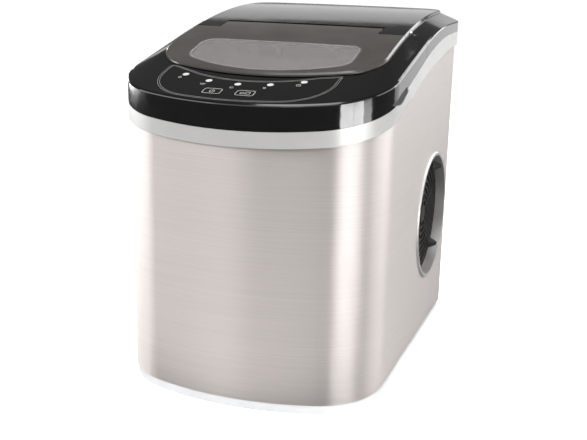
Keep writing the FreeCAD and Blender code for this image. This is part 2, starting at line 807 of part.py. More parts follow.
def make_control_board():
    """Circuit board below the panel, with its lamps and key switches."""
    board = panel_block(BOARD_X, BOARD_Y, BOARD_W, BOARD_D, BOARD_TOP - BOARD_THICK, BOARD_TOP)
    for x, y in BOARD_HOLES:
        board = board.cut(panel_rod(x, y, 1.5, -20, 0))
    node("control_board", shaped(board))
    plunger_top = -dim("key_h") - dim("key_travel") - 0.05
    pieces = []
    for x in KEYS.values():
        body = panel_block(x, dim("key_y"), 6.0, 6.0, BOARD_TOP, BOARD_TOP + 2.6)
        pieces.append(body.fuse(panel_rod(x, dim("key_y"), 1.7, BOARD_TOP + 2, plunger_top)))
    pieces += [panel_rod(x, y, dim("lens_r") - 0.4, BOARD_TOP, -dim("lens_h") - 0.4) for x, y in LAMPS]
    return node("board_components", shaped(Part.makeCompound(pieces)))


def make_trim_band():
    """Silver band between the steel wrap and the black top."""
    low = under_profile("trim_low")
    high = under_profile("trim_top")
    band = prism("shell", 0, 200, 340).cut(prism("shell", dim("trim_thick"), 200, 340))
    band = band.common(high).cut(low)
    for recess in finger_recesses():
        band = band.cut(recess)
    return node("trim_band", shaped(band))


def make_steel_wrap():
    """One brushed sheet round the front and both sides, open where the rear panel sits."""
    outer = dim("steel_inset")
    low_z = dim("steel_low_z")
    wrap = prism("shell", outer, low_z, 330).cut(prism("shell", outer + dim("steel_thick"), 0, 340))
    wrap = wrap.common(under_profile("trim_low", dim("steel_tuck")))
    half_w = dim("panel_half_w") + 0.4
    wrap = wrap.cut(block((-half_w, 100, 0), (half_w, FAR, FAR)))
    hole = Part.makeCylinder(dim("vent_r") + dim("vent_barrel") + 0.3, 40,
                             Vector(100, dim("vent_y"), dim("vent_z")), Vector(1, 0, 0))
    return node("steel_wrap", shaped(wrap.cut(hole)))


def make_base_pan():
    """Moulded tray that closes the machine from below; the steel wrap drops over its wall."""
    low_z = dim("base_low_z")
    floor_z = low_z + dim("base_floor")
    inset = dim("base_inset")
    pan = prism("shell", inset, low_z, dim("base_top_z"))
    pan = pan.cut(prism("shell", inset + dim("base_wall"), floor_z, 60))
    slot = Part.makeBox(60, 4, 20, Vector(-76, 0, 0))
    for i in range(7):
        pan = pan.cut(slot.translated(Vector(0, 60 + 11 * i, 0)))
    return node("base_pan", shaped(pan))


def make_feet():
    """Four round rubber feet below the base pan."""
    feet = []
    for x in ("foot_x", "0 - foot_x"):
        for y in ("foot_front_y", "foot_rear_y"):
            pad_part = cone(x, y, "0", "foot_r - 1.5", "foot_r", "1.5")
            feet += [pad_part, rod(x, y, "1.5", "foot_r", "base_low_z - 1.5")]
    return node("feet", fuse(*feet))


SCREW_SPOTS = [(x, z) for x in (-71, 71) for z in (34, 160, 284)]


def make_rear_panel():
    """Flat rear panel with air slots, and openings for the mains gland and the drain."""
    front_y = "shell_rear_y - steel_inset - panel_thick"
    height = "trim_low_top_z + 4 - steel_low_z"
    sheet_part = box("0 - panel_half_w", front_y, "steel_low_z", "2 * panel_half_w", "panel_thick", height)
    tools = []
    for column in range(3):
        for row_index in range(14):
            slot_x = "%d" % (-57 + 41 * column)
            slot_z = "%d" % (110 + 11 * row_index)
            tools.append(box(slot_x, "170", slot_z, "32", "10", "3.6"))
    tools.append(rod("gland_x", "170", "gland_z", "gland_r + 3", "10", "Y"))
    tools.append(rod("drain_x", "170", "drain_z", "drain_r + 2.1", "10", "Y"))
    tools += [rod(str(x), "170", str(z), "1.5", "10", "Y") for x, z in SCREW_SPOTS]
    return node("rear_panel", cut(sheet_part, *tools))


def make_screws():
    """Screws that hold the rear panel and the control board."""
    face_y = dim("shell_rear_y") - dim("steel_inset")
    under = BOARD_TOP - BOARD_THICK
    screws = []
    for x, z in SCREW_SPOTS:
        head = Part.makeCylinder(3.4, 1.6, Vector(x, face_y, z), Vector(0, 1, 0))
        screws.append(head.fuse(Part.makeCylinder(1.45, 7.5, Vector(x, face_y - 7, z), Vector(0, 1, 0))))
    for x, y in BOARD_HOLES:
        screws.append(panel_rod(x, y, 2.6, under - 1.8, under).fuse(panel_rod(x, y, 1.2, under - 1, -6.5)))
    return node("screws", shaped(Part.makeCompound(screws)))


def make_cord_gland():
    """Bush in the rear panel that the mains cord goes through."""
    body = new_body("Gland")
    section = sketch(body, "XY_Plane")
    flange_y = "shell_rear_y - steel_inset"
    draw_polygon(section, [("gland_r", "164"), ("gland_r + 2.9", "164"), ("gland_r + 2.9", flange_y),
                           ("gland_r + 6", flange_y), ("gland_r + 5", flange_y + " + 2.3"),
                           ("gland_r", flange_y + " + 2.3")])
    revolve(body, section)
    at(body, "gland_x", "0", "gland_z")
    return node("cord_gland", body)


def make_drain():
    """Drain spout behind the rear panel, the rubber plug that closes it, and the hose from the tank."""
    spout = cut(rod("drain_x", "140", "drain_z", "drain_r + 2", "shell_rear_y - steel_inset - 140", "Y"),
                rod("drain_x", "130", "drain_z", "drain_r", "60", "Y"))
    node("drain_spout", spout)
    body = new_body("Plug")
    section = sketch(body, "XY_Plane")
    face_y = "shell_rear_y - steel_inset + 0.1"
    draw_polygon(section, [("0", "162"), ("drain_r - 0.6", "162"), ("drain_r - 0.05", "164"),
                           ("drain_r - 0.05", face_y), ("drain_r + 3.5", face_y),
                           ("drain_r + 3.5", face_y + " + 1.4"), ("drain_r + 2.7", face_y + " + 2.2"),
                           ("0", face_y + " + 2.2")])
    revolve(body, section)
    at(body, "drain_x", "0", "drain_z")
    node("drain_plug", body)
    low_z = dim("drain_z")
    hose = tube([(dim("drain_x"), -30, dim("tank_low_z") - 6), (dim("drain_x"), -30, low_z),
                 (dim("drain_x"), 140, low_z)], 8.0, 22, 6.0)
    node("drain_hose", shaped(hose))


def spoke(low_x, start, end, width, thick, degrees):
    """Flat bar that runs outwards from the vent's axis at some angle."""
    lean = math.radians(degrees)
    side = "(%s) / 2" % width
    along = (math.cos(lean), math.sin(lean))
    bar = box("0", "0", "0", thick, "(%s) - (%s)" % (end, start), width)
    turned(bar, Vector(1, 0, 0), degrees)
    y = "vent_y + (%s) * %.6f + %s * %.6f" % (start, along[0], side, along[1])
    z = "vent_z + (%s) * %.6f - %s * %.6f" % (start, along[1], side, along[0])
    return at(bar, low_x, y, z)


def make_side_vent():
    """Plated ring in the right side, and the dark guard set back inside it."""
    out_x = "shell_half_w - steel_inset"
    centre = ("vent_y", "vent_z")
    depth = "shell_half_w - steel_inset - guard_x + guard_thick"
    lip = cone(out_x, *centre, "vent_lip_r", "vent_lip_r - 0.8", "vent_lip", "X")
    barrel = rod("guard_x - guard_thick", *centre, "vent_r + vent_barrel", depth, "X")
    hole = rod("90", *centre, "vent_r", "40", "X")
    node("side_vent_ring", cut(fuse(lip, barrel), hole))
    low_x = "guard_x - guard_thick"
    rings = []
    for index in range(9):
        radius = "%.1f" % (60.3 - 6.4 * index)
        width = 2.2 if index == 0 else 1.7
        inner = "%.1f" % (60.3 - 6.4 * index - width)
        rings.append(cut(rod(low_x, *centre, radius, "guard_thick", "X"),
                         rod("90", *centre, inner, "40", "X")))
    rings.append(rod(low_x, *centre, "7.5", "guard_thick", "X"))
    for index in range(6):
        rings.append(spoke(low_x, "5", "59.5", "2.2", "guard_thick - 0.6", 20 + 60 * index))
    node("fan_guard", fuse(*rings))


def make_fan():
    """Axial fan: twisted blades on a hub, shaft, motor, bracket and duct."""
    y, z = dim("vent_y"), dim("vent_z")
    low_x, depth = dim("fan_low_x"), dim("fan_depth")
    hub_r, tip_r = dim("fan_hub_r"), dim("fan_r")

    def chord(radius, degrees, half_chord):
        """Blade section at a radius: a flat strip pitched to the fan's plane."""
        half_t = 0.8
        lean = math.radians(degrees)
        ends = []
        for along, across in ((-1, -1), (1, -1), (1, 1), (-1, 1)):
            run = along * half_chord
            lift = across * half_t
            ends.append(Vector(run * math.sin(lean) + lift * math.cos(lean),
                               run * math.cos(lean) - lift * math.sin(lean), radius))
        return Part.makePolygon(ends + ends[:1])

    blade = Part.makeLoft([chord(hub_r - 3, 33, 7.5), chord((hub_r + tip_r) / 2, 24, 12.5),
                           chord(tip_r + 2, 17, 17)], True, True)
    fan = Part.makeCylinder(hub_r, depth, Vector(-depth / 2, 0, 0), Vector(1, 0, 0))
    count = 7
    for i in range(count):
        fan = fan.fuse(blade.rotated(Vector(0, 0, 0), Vector(1, 0, 0), 360.0 * i / count))
    fan = fan.common(Part.makeCylinder(tip_r, depth, Vector(-depth / 2, 0, 0), Vector(1, 0, 0)))
    fan = fan.cut(Part.makeCylinder(hub_r - 2.5, depth - 5, Vector(-depth / 2 - 1, 0, 0), Vector(1, 0, 0)).cut(
        Part.makeCylinder(5, depth, Vector(-depth / 2 - 2, 0, 0), Vector(1, 0, 0))))
    fan = fan.cut(Part.makeCylinder(dim("fan_shaft_r"), depth - 3, Vector(-depth / 2 - 1, 0, 0), Vector(1, 0, 0)))
    fan.translate(Vector(low_x + depth / 2, y, z))
    node("fan_blades", shaped(fan.removeSplitter()))
    centre = ("vent_y", "vent_z")
    node("fan_shaft", rod("fan_low_x - 22", *centre, "fan_shaft_r", "22 + fan_depth - 4", "X"))
    motor = fuse(rod("fan_low_x - 24", *centre, "19", "20", "X"),
                 rod("fan_low_x - 4.5", *centre, "6", "3.5", "X"))
    node("fan_motor", cut(motor, rod("fan_low_x - 23", *centre, "fan_shaft_r + 0.05", "30", "X")))
    bars = [spoke("fan_low_x - 26", "0 - 5", "58.4", "12", "2", 90 * index) for index in range(4)]
    node("fan_bracket", fuse(*bars))
    duct = box("60.5", "vent_y - 60", "vent_z - 60", "44.5", "120", "120")
    square = box("58", "vent_y - 58.5", "vent_z - 58.5", "29", "117", "117")
    node("fan_shroud", cut(duct, square, rod("50", *centre, "fan_r + 2", "70", "X")))


def make_condenser():
    """Finned condenser beside the fan: thin plates on one folded tube."""
    rows = [96 + 23 * i for i in range(4)]
    mid_x = "condenser_low_x + condenser_w / 2"
    x = dim("condenser_low_x") + dim("condenser_w") / 2
    plates = [box("condenser_low_x", "%.2f" % (24 + 4.2 * i), "78", "condenser_w", "0.7", "106")
              for i in range(24)]
    bars = [box("condenser_low_x", "24", z, "condenser_w", "%.2f" % (4.2 * 23 + 0.7), "1.2") for z in ("77", "184")]
    holes = [rod(mid_x, "10", str(z), "pipe_r + 0.02", "130", "Y") for z in rows]
    node("condenser_fins", cut(fuse(*plates, *bars), *holes))
    top = list(reversed(rows))
    far_y, near_y = 129, 12
    points = [(x, far_y, top[0])]
    for index, z in enumerate(top):
        end_y = near_y if index % 2 == 0 else far_y + 4
        points.append((x, end_y, z))
        if index + 1 < len(top):
            points.append((x, end_y, top[index + 1]))
    points[-1] = (x, far_y, top[-1])
    node("condenser_tube", shaped(tube(points, dim("pipe_r"), 11.4)))


def make_compressor():
    """Hermetic compressor on a plate with rubber mounts."""
    body = new_body("Compressor")
    section = sketch(body, "XZ_Plane")
    outline = [("0", "0"), ("compressor_r * 0.45", "0"), ("compressor_r * 0.86", "9"), ("compressor_r", "24"),
               ("compressor_r", "62"), ("compressor_r + 2.5", "62"), ("compressor_r + 2.5", "66"),
               ("compressor_r", "66"), ("compressor_r", "compressor_h - 28"),
               ("compressor_r * 0.86", "compressor_h - 11"), ("compressor_r * 0.45", "compressor_h - 1.5"),
               ("0", "compressor_h")]
    draw_polygon(section, outline)
    revolve(body, section)
    at(body, "compressor_x", "compressor_y", "compressor_low_z")
    doc.recompute()
    low = "compressor_low_z + compressor_h - 24"
    stubs = [rod("compressor_x", "compressor_y", low, "pipe_r + 1", "28", "Z"),
             rod("compressor_x + 26", "compressor_y - 14", low, "pipe_r + 1", "28", "Z")]
    node("compressor", fuse(body, *stubs))
    plate = box("compressor_x - 50", "compressor_y - 46", "14", "100", "92", "2")
    post = rod("compressor_x", "compressor_y", "15", "compressor_r * 0.45", "compressor_low_z - 15")
    spots = [(sx, sy) for sx in ("- 42", "+ 42") for sy in ("- 38", "+ 38")]
    holes = [rod("compressor_x " + sx, "compressor_y " + sy, "0", "4", "40") for sx, sy in spots]
    node("compressor_plate", cut(fuse(plate, post), *holes))
    rubbers = []
    for sx, sy in spots:
        where = ("compressor_x " + sx, "compressor_y " + sy)
        rubbers += [rod(*where, "base_low_z + base_floor", "8", "14 - base_low_z - base_floor"),
                    rod(*where, "12", "3.9", "6"), rod(*where, "16", "7", "3")]
    node("compressor_mounts", fuse(*rubbers))
    cap = box("compressor_x - 16", "compressor_y - compressor_r - 18", "60", "32", "22", "40")
    shell_part = rod("compressor_x", "compressor_y", "50", "compressor_r + 2.6", "80")
    node("compressor_relay", cut(cap, shell_part))


def make_pipes():
    """Refrigerant pipes, drier and hot-gas valve between compressor, condenser and evaporator."""
    pipe_r = dim("pipe_r")
    cx, cy = dim("compressor_x"), dim("compressor_y")
    stub_z = dim("compressor_low_z") + dim("compressor_h") + 4
    row_top, row_low = 165, 96
    coil_x = dim("condenser_low_x") + dim("condenser_w") / 2
    finger_y = dim("trough_y")
    plate_top = dim("trough_z") + 16
    high_z = plate_top + 28
    discharge = tube([(cx, cy, stub_z), (cx, cy, row_top), (cx, 150, row_top), (coil_x, 150, row_top),
                      (coil_x, 129, row_top)], pipe_r, 9)
    node("liquid_pipe", shaped(tube(
        [(coil_x, 129, row_low), (coil_x, 160, row_low), (16, 160, row_low), (16, 160, 112)], pipe_r, 8)))
    drier = fuse(rod("16", "160", "118", "8.5", "30"), cone("16", "160", "112", "pipe_r", "8.5", "6"),
                 cone("16", "160", "148", "8.5", "2.2", "6"))
    node("filter_drier", drier)
    node("capillary_tube", shaped(tube(
        [(16, 160, 154), (16, 160, 186), (-30, 160, 186), (-30, 92, 186), (-30, 92, 244)], 1.6, 9)))
    node("evaporator_inlet", shaped(tube(
        [(-30, finger_y, plate_top), (-30, finger_y, high_z), (-30, 92, high_z), (-30, 92, 244)], pipe_r, 11)))
    node("suction_pipe", shaped(tube(
        [(30, finger_y, plate_top), (30, finger_y, high_z), (30, 84, high_z), (30, 84, 182),
         (cx + 26, 84, 182), (cx + 26, 84, stub_z)], pipe_r, 11)))
    valve = fuse(rod("0", "150", "196", "7", "8"), box("0 - 11", "139", "204", "22", "22", "18"),
                 rod("0", "150", "222", "5", "6"))
    node("hot_gas_valve", valve)
    branch = Part.makeCylinder(pipe_r - 0.6, 196 - row_top - pipe_r - 0.05, Vector(0, 150, row_top + pipe_r + 0.05))
    feed = tube([(0, 150, 228), (0, 150, 262), (0, 92, 262), (-30 + pipe_r + 0.05, 92, 262)], pipe_r - 0.6, 9)
    node("hot_gas_pipes", shaped(Part.makeCompound([discharge, branch, feed])))


# ---------------------------------------------------------------- inside

def rounded_block(low, high, corner_r):
    """Block with rounded upright edges."""
    solid = block(low, high)
    upright = [e for e in solid.Edges if abs(e.Vertexes[0].Z - e.Vertexes[-1].Z) > 1e-6]
    return solid.makeFillet(corner_r, upright)


def tank_room(grow, low_z, high_z):
    """Water tank's room, grown outwards by some thickness."""
    half_w = dim("tank_half_w") + grow
    low = (-half_w, dim("tank_front_y") - grow, low_z)
    high = (half_w, dim("tank_rear_y") + grow, high_z)
    return rounded_block(low, high, 18 + grow)


def chamber_room(grow, low_z, high_z=345.0):
    """Ice chamber's room above the tank, on the outline of the crown's ledge, grown outwards."""
    room = prism("crown", dim("ledge_w") + dim("tank_wall") - grow, low_z, high_z)
    return room.common(block((-FAR, -FAR, 0), (FAR, dim("chamber_rear_y") + grow, FAR)))


def make_inner_liner():
    """One moulded liner: water tank below, ice chamber above, with rails, bosses and spigots."""
    wall = dim("tank_wall")
    shelf_z = dim("tank_shelf_z")
    low_z = dim("tank_low_z")
    outside = tank_room(wall, low_z, shelf_z + 4).fuse(chamber_room(wall, shelf_z - wall))
    inside = tank_room(0, low_z + wall, shelf_z + 4 - wall).fuse(chamber_room(0, shelf_z))
    liner = outside.cut(inside)
    front = block((-FAR, -FAR, 0), (FAR, 10, FAR))
    over_front = front.cut(under_profile("crown", -dim("liner_drop")))
    liner = liner.cut(over_front.common(block((-FAR, -FAR, 150), (FAR, FAR, FAR))))
    liner = liner.common(under_profile("crown", -4.2))
    half_w = dim("tank_half_w")
    for side in (1, -1):
        inner_x, outer_x = sorted((side * (dim("basket_half_w") + 0.8), side * (half_w + 0.5)))
        rail = block((inner_x, -100, shelf_z), (outer_x, -26, dim("basket_low_z") - 0.2))
        liner = liner.fuse(rail)
        start = half_w - 5 if side > 0 else -half_w - 1
        boss = Part.makeCylinder(6, 6, Vector(start, dim("paddle_y"), dim("paddle_z")), Vector(1, 0, 0))
        liner = liner.fuse(boss)
        bore_x = half_w - 6 if side > 0 else -half_w + 2
        bore = Part.makeCylinder(2.55, 4, Vector(bore_x, dim("paddle_y"), dim("paddle_z")), Vector(1, 0, 0))
        liner = liner.cut(bore)
        pipe_x = side * 30
        hole = Part.makeCylinder(dim("pipe_r") + 1.3, 20,
                                 Vector(pipe_x, dim("chamber_rear_y") - 8, PIPE_TOP_Z), Vector(0, 1, 0))
        liner = liner.cut(hole)
    across = Part.makeCylinder(BUSH_R + 0.02, 240, Vector(-120, dim("trough_y"), dim("trough_z")), Vector(1, 0, 0))
    liner = liner.cut(across)
    hose_hole = Part.makeCylinder(HOSE_R + 0.6, 20, Vector(-100, dim("trough_y"), HOSE_TOP_Z), Vector(1, 0, 0))
    liner = liner.cut(hose_hole)
    for x, y, radius in ((dim("drain_x"), TANK_DRAIN_Y, 5.95), (PUMP_X, PUMP_Y, 3.95)):
        liner = liner.fuse(Part.makeCylinder(radius, 12 + wall, Vector(x, y, low_z - 12)))
        liner = liner.cut(Part.makeCylinder(radius - 1.5, 20, Vector(x, y, low_z - 14)))
    return node("inner_liner", shaped(liner.removeSplitter()))


PIPE_TOP_Z = 300.0
HOSE_TOP_Z = 294.0
HOSE_R = 5.0
BUSH_R = 6.5
TANK_DRAIN_Y = -30.0
PUMP_X = -60.0
PUMP_Y = -90.0


def make_tank_insulation():
    """Foam jacket round the tank, with a channel for the water hose."""
    foam = prism("shell", 6.0, 104, 200).common(block((-FAR, -FAR, 0), (FAR, 5.5, FAR)))
    foam = foam.cut(tank_room(dim("tank_wall") + 0.3, 90, dim("tank_shelf_z") + 4.3))
    foam = foam.cut(chamber_room(dim("tank_wall") + 0.3, dim("tank_shelf_z") - dim("tank_wall") - 0.3))
    foam = foam.cut(block((-FAR, PUMP_Y - 7, 90), (-HOSE_X + 7, PUMP_Y + 7, 210)))
    return node("tank_insulation", shaped(foam.removeSplitter()))


HOSE_X = 104.0


def make_partition():
    """Sheet wall between the tank side and the warm machinery side."""
    wall = box("-113", "tank_rear_y + 4.5", "base_low_z + base_floor", "226", "1.5",
               "tank_shelf_z - 3 - base_low_z - base_floor")
    hole = rod("drain_x", "0", "drain_z", "8.6", "20", "Y")
    return node("partition_panel", cut(wall, hole))


def tub_shape(grow, low_z, high_z):
    """The basket's room: bowed front on the chamber's outline, straight rear with rounded corners."""
    inset = dim("crown_half_w") - dim("basket_half_w") - grow
    rear_y = dim("basket_rear_y") + grow
    tub = prism("crown", inset, low_z, high_z).common(block((-FAR, -FAR, 0), (FAR, rear_y, FAR)))
    corners = [e for e in tub.Edges
               if abs(e.Vertexes[0].Z - e.Vertexes[-1].Z) > 1 and e.Vertexes[0].Y > rear_y - 0.01]
    tub = tub.makeFillet(12 + grow, corners)
    return tub.makeFillet(4 + grow, [e for e in tub.Edges if e.BoundBox.ZMax < low_z + 0.01])


def make_basket():
    """Lift-out ice basket: rounded tub with slots and a finger tab at each side."""
    half_w, wall = dim("basket_half_w"), dim("basket_wall")
    low_z, rear_y = dim("basket_low_z"), dim("basket_rear_y")
    high_z = low_z + dim("basket_h")
    tub = tub_shape(0, low_z, high_z).cut(tub_shape(-wall, low_z + wall, high_z + 10))
    for i in range(9):
        x = 16 * (i - 4)
        for row_index in range(4):
            y = rear_y - 18 - 14 * row_index
            tub = tub.cut(Part.makeBox(10, 4, 10, Vector(x - 5, y, low_z - 3)))
        if abs(i - 4) < 4:
            tub = tub.cut(Part.makeBox(4, 200, 24, Vector(x - 2, -170, low_z + 14)))
    for side in (1, -1):
        near, far = sorted((side * (half_w - 1), side * (half_w + 4.5)))
        tab = rounded_block((near, -66, high_z - 2), (far, -44, high_z), 1.9)
        tub = tub.fuse(tab)
    return node("ice_basket", shaped(tub.removeSplitter()))


def make_evaporator():
    """Cold plate with nine dipping fingers."""
    pitch = "finger_pitch"
    parts = [box("0 - 5 * " + pitch + " + 4", "trough_y - 11", "trough_z + 6", "10 * " + pitch + " - 8", "22", "10")]
    for index in range(9):
        x = "finger_pitch * (%d)" % (index - 4)
        parts.append(rod(x, "trough_y", "trough_z - finger_drop + finger_r", "finger_r", "finger_drop"))
        parts.append(ball(x, "trough_y", "trough_z - finger_drop + finger_r", "finger_r"))
    return node("evaporator", fuse(*parts))


def make_tray():
    """Tilting water trough with its shaft, bushes and geared motor."""
    r, wall, half_w = dim("trough_r"), dim("trough_wall"), dim("trough_half_w")
    y, z = dim("trough_y"), dim("trough_z")
    across = Vector(1, 0, 0)
    outside = Part.makeCylinder(r, 2 * half_w, Vector(-half_w, y, z), across)
    inside = Part.makeCylinder(r - wall, 2 * (half_w - wall), Vector(-half_w + wall, y, z), across)
    tray = outside.cut(inside).cut(block((-FAR, -FAR, z + 1.5), (FAR, FAR, FAR)))
    rim_front = block((-half_w, y - r, z - 1.5), (half_w, y - r + 3.2, z + 1.5))
    rim_rear = block((-half_w, y + r - 3.2, z - 1.5), (half_w, y + r, z + 1.5))
    trimmed = outside.common(rim_front.fuse(rim_rear))
    tray = tray.fuse(trimmed)
    for side in (1, -1):
        start = half_w - wall if side > 0 else -half_w - 3.5
        hub = Part.makeCylinder(7, wall + 3.5, Vector(start, y, z), across)
        tray = tray.fuse(hub)
        tray = tray.cut(Part.makeCylinder(3, wall + 6, Vector(start - 1, y, z), across))
    node("water_tray", shaped(tray.removeSplitter()))
    spot = ("trough_y", "trough_z")
    node("tray_shaft", fuse(rod("0 - tank_half_w - 5", *spot, "3", "tank_half_w + 5 - trough_half_w + 2", "X"),
                            rod("trough_half_w - 2", *spot, "3", "tank_half_w - trough_half_w + 4", "X")))
    bushes = []
    for start in ("0 - tank_half_w - 2", "tank_half_w - 4"):
        bushes.append(cut(rod(start, *spot, "6.5", "6", "X"), rod("-120", *spot, "3.05", "240", "X")))
    node("tray_bushes", fuse(*bushes))
    gearbox = rod("0 - tank_half_w - 20", *spot, "19", "16", "X")
    nose = rod("0 - tank_half_w - 5", *spot, "8", "2.5", "X")
    socket = rod("0 - tank_half_w - 8", *spot, "3.05", "10", "X")
    node("tray_motor", cut(fuse(gearbox, nose), socket))


def make_pusher():
    """Swinging comb that pushes fresh ice forward into the basket."""
    y, z = "paddle_y", "paddle_z"
    shaft = rod("0 - tank_half_w + 2.5", y, z, "2.5", "2 * tank_half_w - 5", "X")
    bar = box("-72", "paddle_y - 1.2", "paddle_z - 14", "144", "2.4", "14")
    teeth = [box("%d" % (-72 + 16 * i), "paddle_y - 1.2", "paddle_z - paddle_h", "10", "2.4", "paddle_h - 13")
             for i in range(9)]
    return node("ice_pusher", fuse(shaft, bar, *teeth))


def make_sensors():
    """Light pair that sees when the basket is full, and the water level sensor in the tank."""
    for_left = box("0 - tank_half_w + 0.05", "-66", "268", "3", "14", "12")
    left_eye = rod("0 - tank_half_w + 3", "-59", "274", "2.5", "2", "X")
    for_right = box("tank_half_w - 3.05", "-66", "268", "3", "14", "12")
    right_eye = rod("tank_half_w - 5", "-59", "274", "2.5", "2", "X")
    node("ice_full_sensors", fuse(for_left, left_eye, for_right, right_eye))
    where = ("74", "-126")
    stem = fuse(rod(*where, "tank_low_z + tank_wall", "2.5", "70"), rod(*where, "tank_low_z + tank_wall", "7", "3"))
    bulb = rod(*where, "tank_low_z + 50", "9", "14")
    node("level_sensor", fuse(stem, bulb))


def make_pump():
    """Small water pump under the tank and the two hoses it feeds."""
    spot = ("%g" % PUMP_X, "%g" % PUMP_Y)
    floor_z = "base_low_z + base_floor"
    pump = fuse(rod(*spot, floor_z, "21", "3"), rod(*spot, floor_z + " + 2", "17", "42"),
                rod(*spot, floor_z + " + 43", "20", "13"), rod(*spot, floor_z + " + 55", "3.95", "10"),
                rod("%g" % (PUMP_X - 30), spot[1], "57", "3.95", "14", "X"))
    node("water_pump", pump)
    inlet_z = dim("base_low_z") + dim("base_floor") + 56.5
    node("suction_hose", shaped(tube([(PUMP_X, PUMP_Y, inlet_z), (PUMP_X, PUMP_Y, dim("tank_low_z") - 0.5)],
                                     5.5, 8, 4.0)))
    y = dim("trough_y")
    node("water_hose", shaped(tube([
        (PUMP_X - 21, PUMP_Y, 57), (-HOSE_X, PUMP_Y, 57), (-HOSE_X, PUMP_Y, 262), (-HOSE_X, -34, 262),
        (-HOSE_X, -34, HOSE_TOP_Z), (-HOSE_X, y, HOSE_TOP_Z), (-58, y, HOSE_TOP_Z), (-58, y, 280)],
        HOSE_R, 10, 3.97)))


def make_electronics():
    """Control box with a sliding-in main board, standing beside the compressor."""
    shell_part = box("-114", "42", "168", "20", "106", "92")
    hollow = box("-112.5", "43.5", "169.5", "30", "103", "89")
    node("control_box", cut(shell_part, hollow))
    board = box("-109", "46", "172", "1.6", "98", "84")
    chips = [box("-107.4", "%d" % y, "%d" % z, "%d" % w, "%d" % d, "%d" % h)
             for y, z, w, d, h in ((52, 180, 11, 24, 30), (84, 178, 9, 12, 12), (102, 178, 9, 12, 12),
                                   (120, 178, 9, 12, 12), (60, 222, 3, 16, 16), (90, 214, 8, 34, 8),
                                   (92, 234, 4, 22, 10))]
    node("main_board", fuse(board, *chips))


make_top_frame()
make_rear_cover()
make_hinge_pins()
make_lid()
make_lid_window()
make_lid_bumpers()
make_control_overlay()
for key_name, key_x in KEYS.items():
    make_key(key_name, key_x)
make_lamps()
make_control_board()
make_trim_band()
make_steel_wrap()
make_base_pan()
make_feet()
make_rear_panel()
make_screws()
make_cord_gland()
make_drain()
make_side_vent()
make_fan()
make_condenser()
make_compressor()
make_pipes()
make_inner_liner()
make_tank_insulation()
make_partition()
make_basket()
make_evaporator()
make_tray()
make_pusher()
make_sensors()
make_pump()
make_electronics()

doc.recompute()

for thing in doc.Objects:
    if "Invalid" in thing.State or "Error" in thing.State:
        raise RuntimeError("%s did not compute: %s" % (thing.Label, thing.State))
for thing in NODES:
    shape = thing.Shape
    if shape.isNull() or not shape.isValid() or shape.Volume < 1.0:
        raise RuntimeError("%s has no valid solid" % thing.Label)

os.makedirs("parts", exist_ok=True)
for thing in NODES:
    thing.Shape.exportStep("parts/" + thing.Label + ".step")
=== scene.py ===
"""Looks of the countertop ice maker: materials, small printed and moulded details, studio and camera."""
import json
import math
import bmesh
import bpy
from mathutils import Matrix, Vector
from mathutils.bvhtree import BVHTree


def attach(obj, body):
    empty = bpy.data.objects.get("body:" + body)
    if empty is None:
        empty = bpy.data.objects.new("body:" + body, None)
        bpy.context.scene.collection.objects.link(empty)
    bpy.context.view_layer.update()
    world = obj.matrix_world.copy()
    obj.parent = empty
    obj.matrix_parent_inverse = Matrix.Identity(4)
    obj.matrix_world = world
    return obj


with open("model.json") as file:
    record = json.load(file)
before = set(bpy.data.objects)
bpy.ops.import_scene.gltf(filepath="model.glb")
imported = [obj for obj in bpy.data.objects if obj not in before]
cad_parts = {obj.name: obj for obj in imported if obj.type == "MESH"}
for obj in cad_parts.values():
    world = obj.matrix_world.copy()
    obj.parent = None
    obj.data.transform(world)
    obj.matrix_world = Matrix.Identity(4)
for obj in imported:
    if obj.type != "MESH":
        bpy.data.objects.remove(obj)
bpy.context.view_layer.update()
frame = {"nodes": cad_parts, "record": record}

MM = 0.001


# ---------------------------------------------------------------- material helpers

def new_material(name):
    material = bpy.data.materials.new(name)
    material.use_nodes = True
    shader = material.node_tree.nodes["Principled BSDF"]
    return material, material.node_tree, shader


def settings(shader, **values):
    """Set the shader's own sockets; names use _ for a space, and a colour gets its fourth value."""
    for key, value in values.items():
        socket = shader.inputs[key.replace("_", " ")]
        if hasattr(socket.default_value, "__len__") and len(value) == 3 and len(socket.default_value) == 4:
            value = (*value, 1.0)
        socket.default_value = value


def add(tree, kind, **values):
    """New node with its sockets or its own options set."""
    item = tree.nodes.new(kind)
    for key, value in values.items():
        if key in item.inputs:
            item.inputs[key].default_value = value
        else:
            setattr(item, key, value)
    return item


def noise(tree, scale, stretch=(1, 1, 1), detail=3.0, rough=0.5):
    """Noise in object space, measured in metres; stretch squeezes it along an axis."""
    place = add(tree, "ShaderNodeTexCoord")
    squeeze = add(tree, "ShaderNodeMapping")
    squeeze.inputs["Scale"].default_value = stretch
    texture = add(tree, "ShaderNodeTexNoise", Scale=scale, Detail=detail, Roughness=rough)
    tree.links.new(place.outputs["Object"], squeeze.inputs["Vector"])
    tree.links.new(squeeze.outputs["Vector"], texture.inputs["Vector"])
    return texture


def ramp(tree, source, low, high, start=0.3, end=0.7):
    """Map a grey signal to a span of values or between two colours."""
    item = add(tree, "ShaderNodeValToRGB")
    item.color_ramp.elements[0].position = start
    item.color_ramp.elements[1].position = end
    for element, value in zip(item.color_ramp.elements, (low, high)):
        element.color = (*value, 1) if hasattr(value, "__len__") else (value, value, value, 1)
    tree.links.new(source, item.inputs["Fac"])
    return item.outputs["Color"]


def bump(tree, shader, source, strength, distance):
    """Tilt the shader's normal by a grey signal."""
    item = add(tree, "ShaderNodeBump", Strength=strength, Distance=distance)
    tree.links.new(source, item.inputs["Height"])
    tree.links.new(item.outputs["Normal"], shader.inputs["Normal"])


